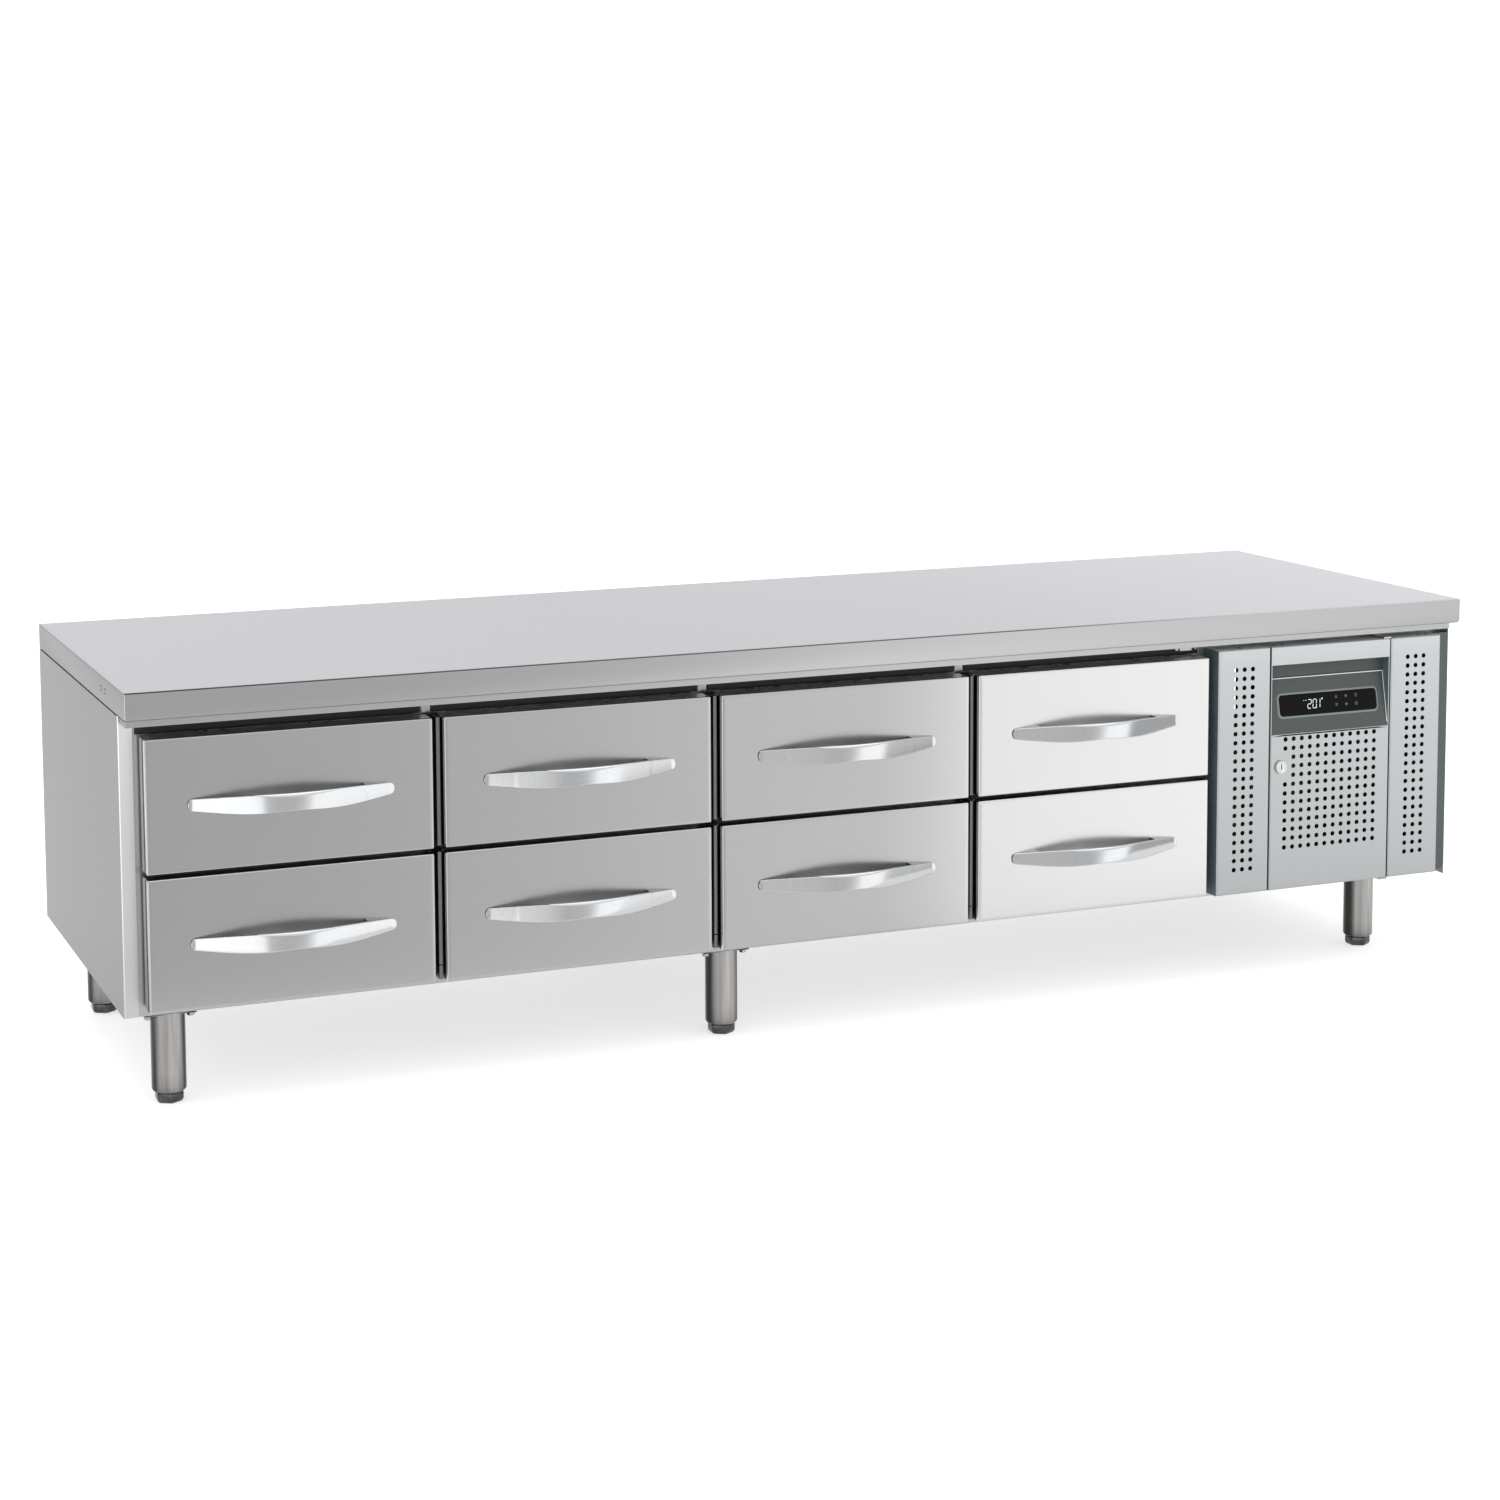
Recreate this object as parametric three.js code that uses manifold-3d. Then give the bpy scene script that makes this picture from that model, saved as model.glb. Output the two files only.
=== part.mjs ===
// Refrigerated chef base: a low foamed cabinet with eight drawers for catering pans, a machine
// compartment at the right-hand end, a flat worktop for cooking appliances and six screw feet.
// Millimetres, +Z up, fronts facing -Y. The origin is on the floor, under the centre of the box
// that holds the whole object.

import * as THREE from 'three';
import { mergeVertices } from 'three/addons/utils/BufferGeometryUtils.js';
import Module from 'manifold-3d';

const wasm = await Module();
wasm.setup();

// Overall sizes
const unitWidth = 2230;
const unitHeight = 610;
const worktopDepth = 700;
const undersideHeight = 134;

// Clearances and cutting
const fitGap = 0.3;
const overrun = 1;
const sheet = 2;
const weldTolerance = 1e-4;

// Worktop
const worktopThickness = 40;
const worktopEdgeRadius = 1.5;
const underRailHeight = 10;
const underRailSetback = 6;
const underRailInsetLeft = 2;
const underRailInsetRight = 17;

// Cabinet
const cabinetSideInset = 1;
const cabinetBackInset = 3;
const frontSetback = 58;
const ceilingThickness = 40;
const backThickness = 45;
const frameDepth = 40;
const pocketDepth = 12;
const pocketLip = 4;

// Drawer layout
const columns = 4;
const levelNames = ['upper', 'lower'];
const [upperLevel, lowerLevel] = levelNames.keys();
const endMargin = 29.5;
const machineCoverWidth = 431;
const columnPitch = (unitWidth - 2 * endMargin - machineCoverWidth) / columns;
const drawerSideGap = 17;
const levelGap = 7;
const topReveal = 20;
const bottomReveal = 12.5;
const gasketLap = 16.5;

// Drawer front panel
const panelThickness = 38;
const panelEdgeSoftening = 1.2;
const linerStep = 3;
const linerInset = 3;
const grooveWidth = 5;
const grooveDepth = 4;

// Gasket
const gasketThickness = 6.2;
const gasketWidth = 12;
const gasketInset = 4;

// Bow handle
const handleLength = 300;
const handleReach = 40;
const handleStrip = 5;
const handlePadLength = 45;
const handleEndHeight = 15;
const handleMiddleHeight = 27;
const handleEndRadius = 5;

// Runner channels and rollers
const channelDrop = 10;
const channelHeight = 32;
const channelDepth = 13;
const channelBackClearance = 53.7;
const rollerRadius = 9;
const rollerInset = 3;
const postDepth = 20;

// Drawer frame
const frameSideClear = 15;
const frameWall = 3;
const ledgeWidth = 18;
const ledgeThickness = 3;
const ledgeDrop = 8;
const railReach = 11;
const gussetLength = 110;
const gussetClearance = 28.25;

// Legs and feet
const legRadius = 25;
const legEndRounding = 6;
const legFlangeRadius = 38;
const legFlangeThickness = 4;
const legInsetLeft = 67;
const legInsetRight = 104;
const legInsetFront = 82;
const machineLegInsetFront = 131;
const legInsetBack = 118;
const middleLegOffset = 33;
const footAcrossFlats = 38;
const footHeight = 15;
const footSoleRadius = 17;
const footSoleHeight = 4;
const stemRadius = 9;
const stemLength = 60;
const threadClearance = 0.8;

// Machine compartment
const partitionThickness = 45;
const baySheet = 3;
const bayFrameDepth = 20;
const coverTopReveal = 11;
const coverBottomReveal = 10;
const coverLap = 12;
const endFlangeSetback = 40;
const endFlangeGap = 1.5;
const endFlangeBevel = 8;

// Machine cover panels
const sideGrilleWidth = 98;
const coverSeam = 2.4;
const coverReturn = 18;
const holeDiameter = 8;
const holePitchX = 15.7;
const holePitchZ = 15.05;
const grilleSideMargin = 28;
const grilleTopMargin = 33;
const grilleBottomMargin = 36;
const doorHoleSideMargin = 24;
const doorHoleTopMargin = 8.5;
const doorHoleBottomMargin = 60;

// Service door
const doorReturn = 20;
const doorStripHeight = 31;
const recessHeight = 24;
const bezelFaceHeight = 91;
const hingeInset = 5;
const hingePinSetback = 4.5;
const hingePinRadius = 1.5;
const hingePinLength = 4;
const hingeHoleClearance = 0.4;
const hingeTabWidth = 14;
const hingeTabThickness = 2.7;

// Control bezel and controller
const recessDepth = 18;
const bezelBodyDepth = 24;
const bezelHousingInset = 20;
const bezelHousingDepth = 45;
const controllerWidth = 190;
const controllerHeight = 36;
const controllerRadius = 7;
const controllerProud = 1.5;
const controllerSink = 4;

// Door lock
const lockInset = 20;
const lockRow = 3;
const lockFlangeRadius = 11.5;
const lockFlangeThickness = 3;
const lockBarrelRadius = 8.5;
const lockBarrelClearance = 0.9;
const lockBarrelLength = 22;
const camLength = 30;
const camWidth = 12;
const camThickness = 2;
const keySlotWidth = 1.8;
const keySlotLength = 9;
const keySlotDepth = 1.5;

// Condenser with its fan shroud and motor
const condenserWidth = 320;
const condenserHeight = 300;
const condenserCore = 28;
const condenserFinReach = 8;
const condenserFins = 13;
const condenserSetback = 20;
const finThickness = 3;
const shroudDepth = 30;
const shroudWall = 3;
const condenserFanRadius = 110;
const fanTipClearance = 6;
const fanHubRadius = 24;
const fanHubLength = 16;
const fanRearClearance = 6;
const fanBlades = 5;
const bladePitch = Math.PI / 9;
const bladeThickness = 2;
const condenserBladeWidth = 22;
const motorRadius = 28;
const motorLength = 40;
const motorArmWidth = 12;
const motorArmThickness = 4;

// Evaporator in its chamber behind the partition
const chamberWidth = 110;
const chamberWall = 30;
const chamberLength = 290;
const ventMargin = 15;
const ventFrontInset = 30;
const ventLength = 200;
const evaporatorWidth = 64;
const evaporatorLength = 230;
const evaporatorHeadroom = 36.7;
const evaporatorFinReach = 7;
const evaporatorFins = 8;
const evaporatorFanRadius = 54;
const evaporatorFanWall = 5;
const evaporatorHubRadius = 16;
const evaporatorHubLength = 14;
const evaporatorBladeWidth = 13;
const evaporatorMotorRadius = 18;

// Compressor
const compressorRadius = 88;
const compressorHeight = 190;
const compressorFootHeight = 12;
const compressorFootRadius = 11;
const compressorPlateLength = 210;
const compressorPlateWidth = 130;
const compressorPlateThickness = 4;
const compressorFromRight = 150;
const compressorFromBack = 210;
const servicePortRadius = 5;
const servicePortLength = 40;

// Ventilation slots in the back of the machine compartment
const louvreCount = 7;
const louvreLength = 180;
const louvreHeight = 8;
const louvrePitch = 26;
const louvreTopMargin = 70;

// Facets
const legFacets = 12;
const rollerFacets = 8;
const roundFacets = 14;
const holeFacets = 6;
const handleArcSteps = 10;

// Main places, worked out from the sizes above
const handleProud = handleReach + fitGap + gasketThickness + panelThickness - frontSetback;
const yFront = (handleProud - worktopDepth) / 2;
const xLeft = -unitWidth / 2;
const xRight = unitWidth / 2;
const worktopBottom = unitHeight - worktopThickness;
const underRailBottom = worktopBottom - underRailHeight;
const cabinetLeft = xLeft + cabinetSideInset;
const cabinetRight = xRight - cabinetSideInset;
const cabinetFront = yFront + frontSetback;
const cabinetBack = yFront + worktopDepth - cabinetBackInset;
const cabinetTop = worktopBottom - fitGap;
const drawerWidth = columnPitch - drawerSideGap;
const drawerTop = underRailBottom - topReveal;
const drawerHeight = (drawerTop - undersideHeight - bottomReveal - levelGap) / levelNames.length;
const panelBack = cabinetFront - gasketThickness;
const faceY = panelBack - panelThickness;
const frameFront = panelBack + fitGap;
const coldFloor = undersideHeight + bottomReveal + gasketLap;
const coldCeiling = cabinetTop - ceilingThickness;
const coldBack = cabinetBack - backThickness;
const rackFront = cabinetFront + frameDepth + fitGap;
const rackBack = coldBack - channelBackClearance;

const drawerLeft = (column) => xLeft + endMargin + column * columnPitch;
const openingLeft = (column) => drawerLeft(column) + gasketLap;
const openingRight = (column) => drawerLeft(column) + drawerWidth - gasketLap;
const drawerTopAt = (level) => drawerTop - level * (drawerHeight + levelGap);
const channelTop = (level) => drawerTopAt(level) - gasketLap - channelDrop;
const channelBottom = (level) => channelTop(level) - channelHeight;

const coldLeft = openingLeft(0);
const coldRight = openingRight(columns - 1);
const bayLeft = coldRight + partitionThickness;
const bayRight = cabinetRight - baySheet;
const bayFloor = undersideHeight + baySheet;
const bayTop = cabinetTop - baySheet;
const bayFront = cabinetFront + bayFrameDepth;
const bayBack = cabinetBack - baySheet;
const coverTop = underRailBottom - coverTopReveal;
const coverBottom = undersideHeight + coverBottomReveal;
const coverLeft = drawerLeft(columns);
const coverRight = xRight - endMargin;
const doorLeft = coverLeft + sideGrilleWidth + coverSeam;
const doorRight = coverRight - sideGrilleWidth - coverSeam;
const doorMiddle = (doorLeft + doorRight) / 2;
const hingeX = doorRight - hingeInset;
const hingeY = faceY + hingePinSetback;
const stripBottom = coverTop - doorStripHeight;
const bezelFaceTop = stripBottom - recessHeight;
const bezelBottom = bezelFaceTop - bezelFaceHeight;
const chamberRight = bayLeft + chamberWidth;
const chamberY = coldBack - chamberLength;
const ventY = chamberY + ventFrontInset;

// How many holes fit along a length between two margins
const holesAlong = (length, margins, pitch) => Math.max(Math.floor((length - margins) / pitch) + 1, 1);
const grilleHoleColumns = holesAlong(sideGrilleWidth, 2 * grilleSideMargin, holePitchX);
const grilleHoleRows = holesAlong(
  coverTop - coverBottom, grilleTopMargin + grilleBottomMargin, holePitchZ);
const doorHoleColumns = holesAlong(doorRight - doorLeft, 2 * doorHoleSideMargin, holePitchX);
const doorHoleRows = holesAlong(
  bezelBottom - coverBottom, doorHoleTopMargin + doorHoleBottomMargin, holePitchZ);

// Finishes
const brushedSteel = new THREE.MeshStandardMaterial({ color: 0xb4b6b8, roughness: 0.35, metalness: 0.9 });
const paleSteel = new THREE.MeshStandardMaterial({ color: 0xc9cdd1, roughness: 0.38, metalness: 0.85 });
const satinAluminium = new THREE.MeshStandardMaterial({ color: 0xdcdde0, roughness: 0.28, metalness: 0.9 });
const galvanised = new THREE.MeshStandardMaterial({ color: 0x9aa0a3, roughness: 0.5, metalness: 0.8 });
const greyPlastic = new THREE.MeshStandardMaterial({ color: 0x5d6567, roughness: 0.5, metalness: 0 });
const darkGlass = new THREE.MeshStandardMaterial({ color: 0x0b0d0e, roughness: 0.12, metalness: 0 });
const blackRubber = new THREE.MeshStandardMaterial({ color: 0x1b1c1d, roughness: 0.8, metalness: 0 });
const blackEnamel = new THREE.MeshStandardMaterial({ color: 0x15171a, roughness: 0.4, metalness: 0.3 });

const chefBase = new THREE.Group();
chefBase.name = 'chef_base';

// Solids from three.js geometry, joined and cut

function solidFrom(geometry) {
  geometry.deleteAttribute('normal');
  geometry.deleteAttribute('uv');
  const merged = mergeVertices(geometry, weldTolerance);
  const corners = merged.index.array;
  const kept = [];
  for (let i = 0; i < corners.length; i += 3) {
    const [a, b, c] = [corners[i], corners[i + 1], corners[i + 2]];
    if (a !== b && b !== c && c !== a) kept.push(a, b, c);
  }
  const triVerts = new Uint32Array(kept);
  const vertProperties = new Float32Array(merged.attributes.position.array);
  return new wasm.Manifold(new wasm.Mesh({ numProp: 3, vertProperties, triVerts }));
}

const joined = (...solids) => solids.flat().reduce((all, next) => all.add(next));
const cut = (solid, ...tools) => tools.flat().reduce((left, tool) => left.subtract(tool), solid);

function addPart(name, solid, material) {
  const { vertProperties, triVerts } = solid.getMesh();
  const indexed = new THREE.BufferGeometry();
  indexed.setAttribute('position', new THREE.BufferAttribute(vertProperties, 3));
  indexed.setIndex(new THREE.BufferAttribute(triVerts, 1));
  const geometry = indexed.toNonIndexed();
  geometry.computeVertexNormals();
  const mesh = new THREE.Mesh(geometry, material);
  mesh.name = name;
  chefBase.add(mesh);
}

// A block between two opposite corners, given pair by pair along X, Y and Z
function block(xa, xb, ya, yb, za, zb) {
  const geometry = new THREE.BoxGeometry(Math.abs(xb - xa), Math.abs(yb - ya), Math.abs(zb - za));
  geometry.translate((xa + xb) / 2, (ya + yb) / 2, (za + zb) / 2);
  return solidFrom(geometry);
}

function extruded(shape, length, bevel = 0) {
  return new THREE.ExtrudeGeometry(shape, {
    depth: length,
    bevelEnabled: bevel > 0,
    bevelThickness: bevel,
    bevelSize: bevel,
    bevelOffset: -bevel,
    bevelSegments: 1,
    curveSegments: 4,
  });
}

const alongX = new THREE.Matrix4().makeBasis(
  new THREE.Vector3(0, 1, 0), new THREE.Vector3(0, 0, 1), new THREE.Vector3(1, 0, 0));
const alongY = new THREE.Matrix4().makeBasis(
  new THREE.Vector3(1, 0, 0), new THREE.Vector3(0, 0, 1), new THREE.Vector3(0, -1, 0));

// A shape drawn in Y and Z, carried from xa to xb
function carriedX(shape, xa, xb) {
  return solidFrom(extruded(shape, xb - xa).applyMatrix4(alongX).translate(xa, 0, 0));
}

// A shape drawn in X and Z, carried from ya to yb
function carriedY(shape, ya, yb, bevel = 0) {
  const geometry = extruded(shape, yb - ya - 2 * bevel, bevel);
  return solidFrom(geometry.applyMatrix4(alongY).translate(0, yb - bevel, 0));
}

// A shape drawn in X and Y, carried from za to zb
function carriedZ(shape, za, zb) {
  return solidFrom(extruded(shape, zb - za).translate(0, 0, za));
}

function shapeOf(points) {
  return new THREE.Shape(points.map(([u, v]) => new THREE.Vector2(u, v)));
}

function rectangle(ua, ub, va, vb) {
  return shapeOf([[ua, va], [ub, va], [ub, vb], [ua, vb]]);
}

// A rectangle with a rectangular hole that leaves an even border
function rectangularRing(ua, ub, va, vb, border) {
  const ring = rectangle(ua, ub, va, vb);
  ring.holes.push(rectangle(ua + border, ub - border, va + border, vb - border));
  return ring;
}

function roundedRectangle(width, height, radius) {
  const [u, v] = [width / 2 - radius, height / 2 - radius];
  const shape = new THREE.Shape();
  shape.absarc(u, v, radius, 0, Math.PI / 2);
  shape.absarc(-u, v, radius, Math.PI / 2, Math.PI);
  shape.absarc(-u, -v, radius, Math.PI, 1.5 * Math.PI);
  shape.absarc(u, -v, radius, 1.5 * Math.PI, 2 * Math.PI);
  return shape;
}

// Round bars along one axis, from a first to a last place on it
function barZ(x, y, radius, za, zb, facets = roundFacets) {
  const geometry = new THREE.CylinderGeometry(radius, radius, zb - za, facets);
  return solidFrom(geometry.rotateX(Math.PI / 2).translate(x, y, (za + zb) / 2));
}

function barY(x, z, radius, ya, yb, facets = roundFacets) {
  const geometry = new THREE.CylinderGeometry(radius, radius, yb - ya, facets);
  return solidFrom(geometry.translate(x, (ya + yb) / 2, z));
}

function barX(y, z, radius, xa, xb, facets = roundFacets) {
  const geometry = new THREE.CylinderGeometry(radius, radius, Math.abs(xb - xa), facets);
  return solidFrom(geometry.rotateZ(Math.PI / 2).translate((xa + xb) / 2, y, z));
}

// A profile of radius and height pairs, turned about a vertical axis
function turned(profile, x, y, facets) {
  const points = profile.map(([r, z]) => new THREE.Vector2(r, z));
  return solidFrom(new THREE.LatheGeometry(points, facets).rotateX(Math.PI / 2).translate(x, y, 0));
}

// Worktop: folded sheet over a core, with a shallow under-rail set back below its front edge

function makeWorktop() {
  const yBack = yFront + worktopDepth;
  const r = worktopEdgeRadius;
  const section = new THREE.Shape();
  section.absarc(yFront + r, worktopBottom + r, r, Math.PI, 1.5 * Math.PI);
  section.lineTo(yBack, worktopBottom);
  section.lineTo(yBack, unitHeight);
  section.absarc(yFront + r, unitHeight - r, r, Math.PI / 2, Math.PI);
  const rail = block(
    xLeft + underRailInsetLeft, xRight - underRailInsetRight,
    yFront + underRailSetback, cabinetFront - fitGap,
    underRailBottom, worktopBottom + overrun);
  addPart('worktop', joined(carriedX(section, xLeft, xRight), rail), brushedSteel);
}

// Runner channel: a C-section fixed at the plane x, open towards side (+1 is +X), with a roller
// at its mouth that the drawer's rail rolls on

function runnerChannel(x, side, level) {
  const [bottom, top] = [channelBottom(level), channelTop(level)];
  const lip = x + side * channelDepth;
  const root = x - side * overrun;
  const rollerY = rackFront + rollerInset + rollerRadius;
  const rollerZ = bottom + sheet + fitGap + rollerRadius;
  return joined(
    block(root, x + side * sheet, rackFront, rackBack, bottom, top),
    block(root, lip, rackFront, rackBack, bottom, bottom + sheet),
    block(root, lip, rackFront, rackBack, top - sheet, top),
    barX(rollerY, rollerZ, rollerRadius, root, lip - sheet, rollerFacets));
}

// Cabinet body: one foamed carcass. Its front frame, with mullions and a cross rail between the
// drawers of a column, is part of it, and so are the runner channels on its two end walls.

function makeCabinetBody() {
  const frontFrame = [cabinetFront - overrun, cabinetFront + frameDepth + overrun];
  const openings = [];
  for (let column = 0; column < columns; column += 1) {
    const across = [openingLeft(column), openingRight(column)];
    for (const level of levelNames.keys()) {
      const top = drawerTopAt(level) - gasketLap;
      openings.push(block(...across, ...frontFrame, top - drawerHeight + 2 * gasketLap, top));
    }
    const pocket = [cabinetFront - overrun, cabinetFront + pocketDepth];
    openings.push(block(...across, ...pocket, drawerTop, worktopBottom - pocketLip));
  }
  const coldRoom = block(
    coldLeft, coldRight, cabinetFront + frameDepth, coldBack, coldFloor, coldCeiling);
  const bayMouth = block(
    bayLeft, coverRight - coverLap, cabinetFront - overrun, bayFront + overrun,
    coverBottom + coverLap, coverTop - coverLap);
  const bay = block(bayLeft, bayRight, bayFront, bayBack, bayFloor, bayTop);
  const carcass = cut(
    block(cabinetLeft, cabinetRight, cabinetFront, cabinetBack, undersideHeight, cabinetTop),
    openings, coldRoom, bayMouth, bay);

  const chamberShell = block(
    bayLeft - overrun, chamberRight + chamberWall, chamberY - chamberWall, bayBack + overrun,
    bayFloor - overrun, bayTop + overrun);
  const chamber = block(bayLeft, chamberRight, chamberY, coldBack, coldFloor, coldCeiling);
  const ventSpan = [coldRight - overrun, bayLeft + overrun];
  const supplyVent = block(
    ...ventSpan, ventY, ventY + ventLength,
    channelTop(lowerLevel) + ventMargin, channelBottom(upperLevel) - ventMargin);
  const returnVent = block(
    ...ventSpan, ventY, ventY + ventLength,
    coldFloor + ventMargin, channelBottom(lowerLevel) - ventMargin);

  const louvreMiddle = (chamberRight + chamberWall + bayRight) / 2;
  const louvres = [];
  for (let row = 0; row < louvreCount; row += 1) {
    const top = coverTop - louvreTopMargin - row * louvrePitch;
    louvres.push(block(
      louvreMiddle - louvreLength / 2, louvreMiddle + louvreLength / 2,
      bayBack - overrun, cabinetBack + overrun, top - louvreHeight, top));
  }

  const tabX = [hingeX - hingeTabWidth / 2, hingeX + hingeTabWidth / 2];
  const tabY = [faceY + fitGap, cabinetFront + overrun];
  const tabs = [coverTop + fitGap, coverBottom - fitGap - hingeTabThickness].map((bottom) => cut(
    block(...tabX, ...tabY, bottom, bottom + hingeTabThickness),
    barZ(hingeX, hingeY, hingePinRadius + hingeHoleClearance,
      bottom - overrun, bottom + hingeTabThickness + overrun, rollerFacets)));

  const flangeLeft = coverRight + endFlangeGap;
  const endFlange = carriedY(shapeOf([
    [flangeLeft, coverBottom], [cabinetRight - endFlangeBevel, coverBottom],
    [cabinetRight, coverBottom + endFlangeBevel], [cabinetRight, coverTop], [flangeLeft, coverTop]]),
  yFront + endFlangeSetback, cabinetFront + overrun);

  const channels = [upperLevel, lowerLevel].flatMap((level) => [
    runnerChannel(coldLeft, 1, level), runnerChannel(coldRight, -1, level)]);

  const body = cut(joined(carcass, chamberShell), chamber, supplyVent, returnVent, louvres);
  addPart('cabinet_body', joined(body, tabs, endFlange, channels), brushedSteel);
}

// Runner racks: behind each mullion two posts carry a channel on either side for each level

function makeRunnerRacks() {
  for (let gap = 1; gap < columns; gap += 1) {
    const [left, right] = [openingRight(gap - 1), openingLeft(gap)];
    const upright = [coldFloor + fitGap, coldCeiling - fitGap];
    const posts = [
      block(left, right, rackFront, rackFront + postDepth, ...upright),
      block(left, right, rackBack - postDepth, rackBack, ...upright)];
    const channels = [upperLevel, lowerLevel].flatMap((level) => [
      runnerChannel(left, -1, level), runnerChannel(right, 1, level)]);
    addPart(`runner_rack_${gap}`, joined(posts, channels), galvanised);
  }
}

// Drawers

function makeDrawerFront(name, left, top) {
  const [right, bottom] = [left + drawerWidth, top - drawerHeight];
  const tray = carriedY(
    rectangle(left, right, bottom, top), faceY, panelBack - linerStep, panelEdgeSoftening);
  const liner = block(
    left + linerInset, right - linerInset, panelBack - linerStep - overrun, panelBack,
    bottom + linerInset, top - linerInset);
  const edge = gasketInset + (gasketWidth - grooveWidth) / 2;
  const groove = carriedY(
    rectangularRing(left + edge, right - edge, bottom + edge, top - edge, grooveWidth),
    panelBack - grooveDepth, panelBack + overrun);
  addPart(`${name}_front`, cut(joined(tray, liner), groove), brushedSteel);
}

// The gasket's dart sits in the groove of the front panel, and its band meets the cabinet
function makeGasket(name, left, top) {
  const [right, bottom] = [left + drawerWidth, top - drawerHeight];
  const outer = gasketInset;
  const band = carriedY(
    rectangularRing(left + outer, right - outer, bottom + outer, top - outer, gasketWidth),
    panelBack + fitGap, cabinetFront - fitGap);
  const dart = gasketInset + (gasketWidth - grooveWidth) / 2 + fitGap;
  const rib = carriedY(
    rectangularRing(left + dart, right - dart, bottom + dart, top - dart, grooveWidth - 2 * fitGap),
    panelBack - grooveDepth + fitGap, panelBack + fitGap + overrun);
  addPart(`${name}_gasket`, joined(band, rib), blackRubber);
}

// Bow handle: an arc seen from above, cut to a boat-shaped outline seen from the front. The
// shares give the lower edge: place along half the length, and drop below the upper edge.
const handleEdgeShares = [[0, 0.9], [0.22, 0.97], [0.47, 1], [0.72, 0.86], [0.93, 0.62]];

function handlePlan(middleX) {
  const half = handleLength / 2;
  const base = faceY - fitGap;
  const radius = (half * half + handleReach * handleReach) / (2 * handleReach);
  const bow = (x, r) => Math.sqrt(r * r - x * x) - (radius - handleReach);
  const gapHalf = half - handlePadLength;
  const points = [];
  for (let step = 0; step <= handleArcSteps; step += 1) {
    const x = -half + (step * handleLength) / handleArcSteps;
    points.push([middleX + x, base - Math.max(bow(x, radius), 0)]);
  }
  points.push([middleX + gapHalf, base]);
  for (let step = 0; step <= handleArcSteps; step += 1) {
    const x = gapHalf - (step * 2 * gapHalf) / handleArcSteps;
    points.push([middleX + x, base - bow(x, radius - handleStrip)]);
  }
  points.push([middleX - gapHalf, base]);
  return shapeOf(points);
}

function handleOutline(middleX, middleZ) {
  const half = handleLength / 2;
  const upper = middleZ + handleEndHeight / 2;
  const lower = (share) => upper - share * handleMiddleHeight;
  const r = handleEndRadius;
  const tipBottom = upper - handleEndHeight;
  const outline = new THREE.Shape();
  outline.moveTo(middleX - half, tipBottom + r);
  const leftward = [...handleEdgeShares].reverse();
  leftward.forEach(([along, drop]) => outline.lineTo(middleX - along * half, lower(drop)));
  handleEdgeShares.slice(1).forEach(([along, drop]) => outline.lineTo(middleX + along * half, lower(drop)));
  outline.lineTo(middleX + half, tipBottom + r);
  outline.lineTo(middleX + half, upper - r);
  outline.lineTo(middleX + half - r, upper);
  outline.lineTo(middleX - half + r, upper);
  outline.lineTo(middleX - half, upper - r);
  return outline;
}

function makeHandle(name, left, top) {
  const [middleX, middleZ] = [left + drawerWidth / 2, top - drawerHeight / 2];
  const low = middleZ - handleMiddleHeight;
  const high = middleZ + handleMiddleHeight;
  const bow = carriedZ(handlePlan(middleX), low, high);
  const profile = carriedY(
    handleOutline(middleX, middleZ), faceY - handleReach - overrun, faceY + overrun);
  addPart(`${name}_handle`, bow.intersect(profile), satinAluminium);
}

// Drawer frame: a welded ring with a ledge for the pan's rim, a rail along either side that
// runs in the channels, a roller at the back of each rail, and a gusset at each front corner
function makeDrawerFrame(name, column, level) {
  const left = openingLeft(column) + frameSideClear;
  const right = openingRight(column) - frameSideClear;
  const [bottom, top] = [channelBottom(level), channelTop(level)];
  const ring = carriedZ(rectangularRing(left, right, frameFront, rackBack, frameWall), bottom, top);
  const inner = frameWall - overrun;
  const ledge = carriedZ(
    rectangularRing(left + inner, right - inner, frameFront + inner, rackBack - inner,
      ledgeWidth + overrun),
    top - ledgeDrop - ledgeThickness, top - ledgeDrop);
  const railBottom = bottom + sheet + 2 * (fitGap + rollerRadius);
  const rollerY = rackBack - rollerInset - rollerRadius;
  const rollerZ = bottom + sheet + fitGap + rollerRadius;
  const gussetFront = frameFront + fitGap;
  const gussetBottom = drawerTopAt(level) - drawerHeight + gasketLap + gussetClearance;
  const gusset = shapeOf([
    [gussetFront, gussetBottom],
    [gussetFront + gussetLength, bottom + overrun],
    [gussetFront, bottom + overrun]]);
  const sides = [[left, -1], [right, 1]].map(([x, side]) => {
    const span = [x - side * overrun, x + side * railReach];
    const wall = side < 0 ? [x, x + frameWall] : [x - frameWall, x];
    const gussetX = [wall[0] + fitGap, wall[1] - fitGap];
    return joined(
      block(...span, frameFront + overrun, rackBack - overrun, railBottom, top - sheet - fitGap),
      barX(rollerY, rollerZ, rollerRadius, ...span, rollerFacets),
      carriedX(gusset, ...gussetX));
  });
  addPart(`${name}_frame`, joined(ring, ledge, sides), galvanised);
}

function makeDrawers() {
  for (let column = 0; column < columns; column += 1) {
    levelNames.forEach((levelName, level) => {
      const name = `drawer_${column + 1}_${levelName}`;
      const corner = [drawerLeft(column), drawerTopAt(level)];
      makeDrawerFront(name, ...corner);
      makeGasket(name, ...corner);
      makeHandle(name, ...corner);
      makeDrawerFrame(name, column, level);
    });
  }
}

// Legs: a tube with a mounting flange and a threaded blind bore, and a hex foot screwed into it

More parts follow.
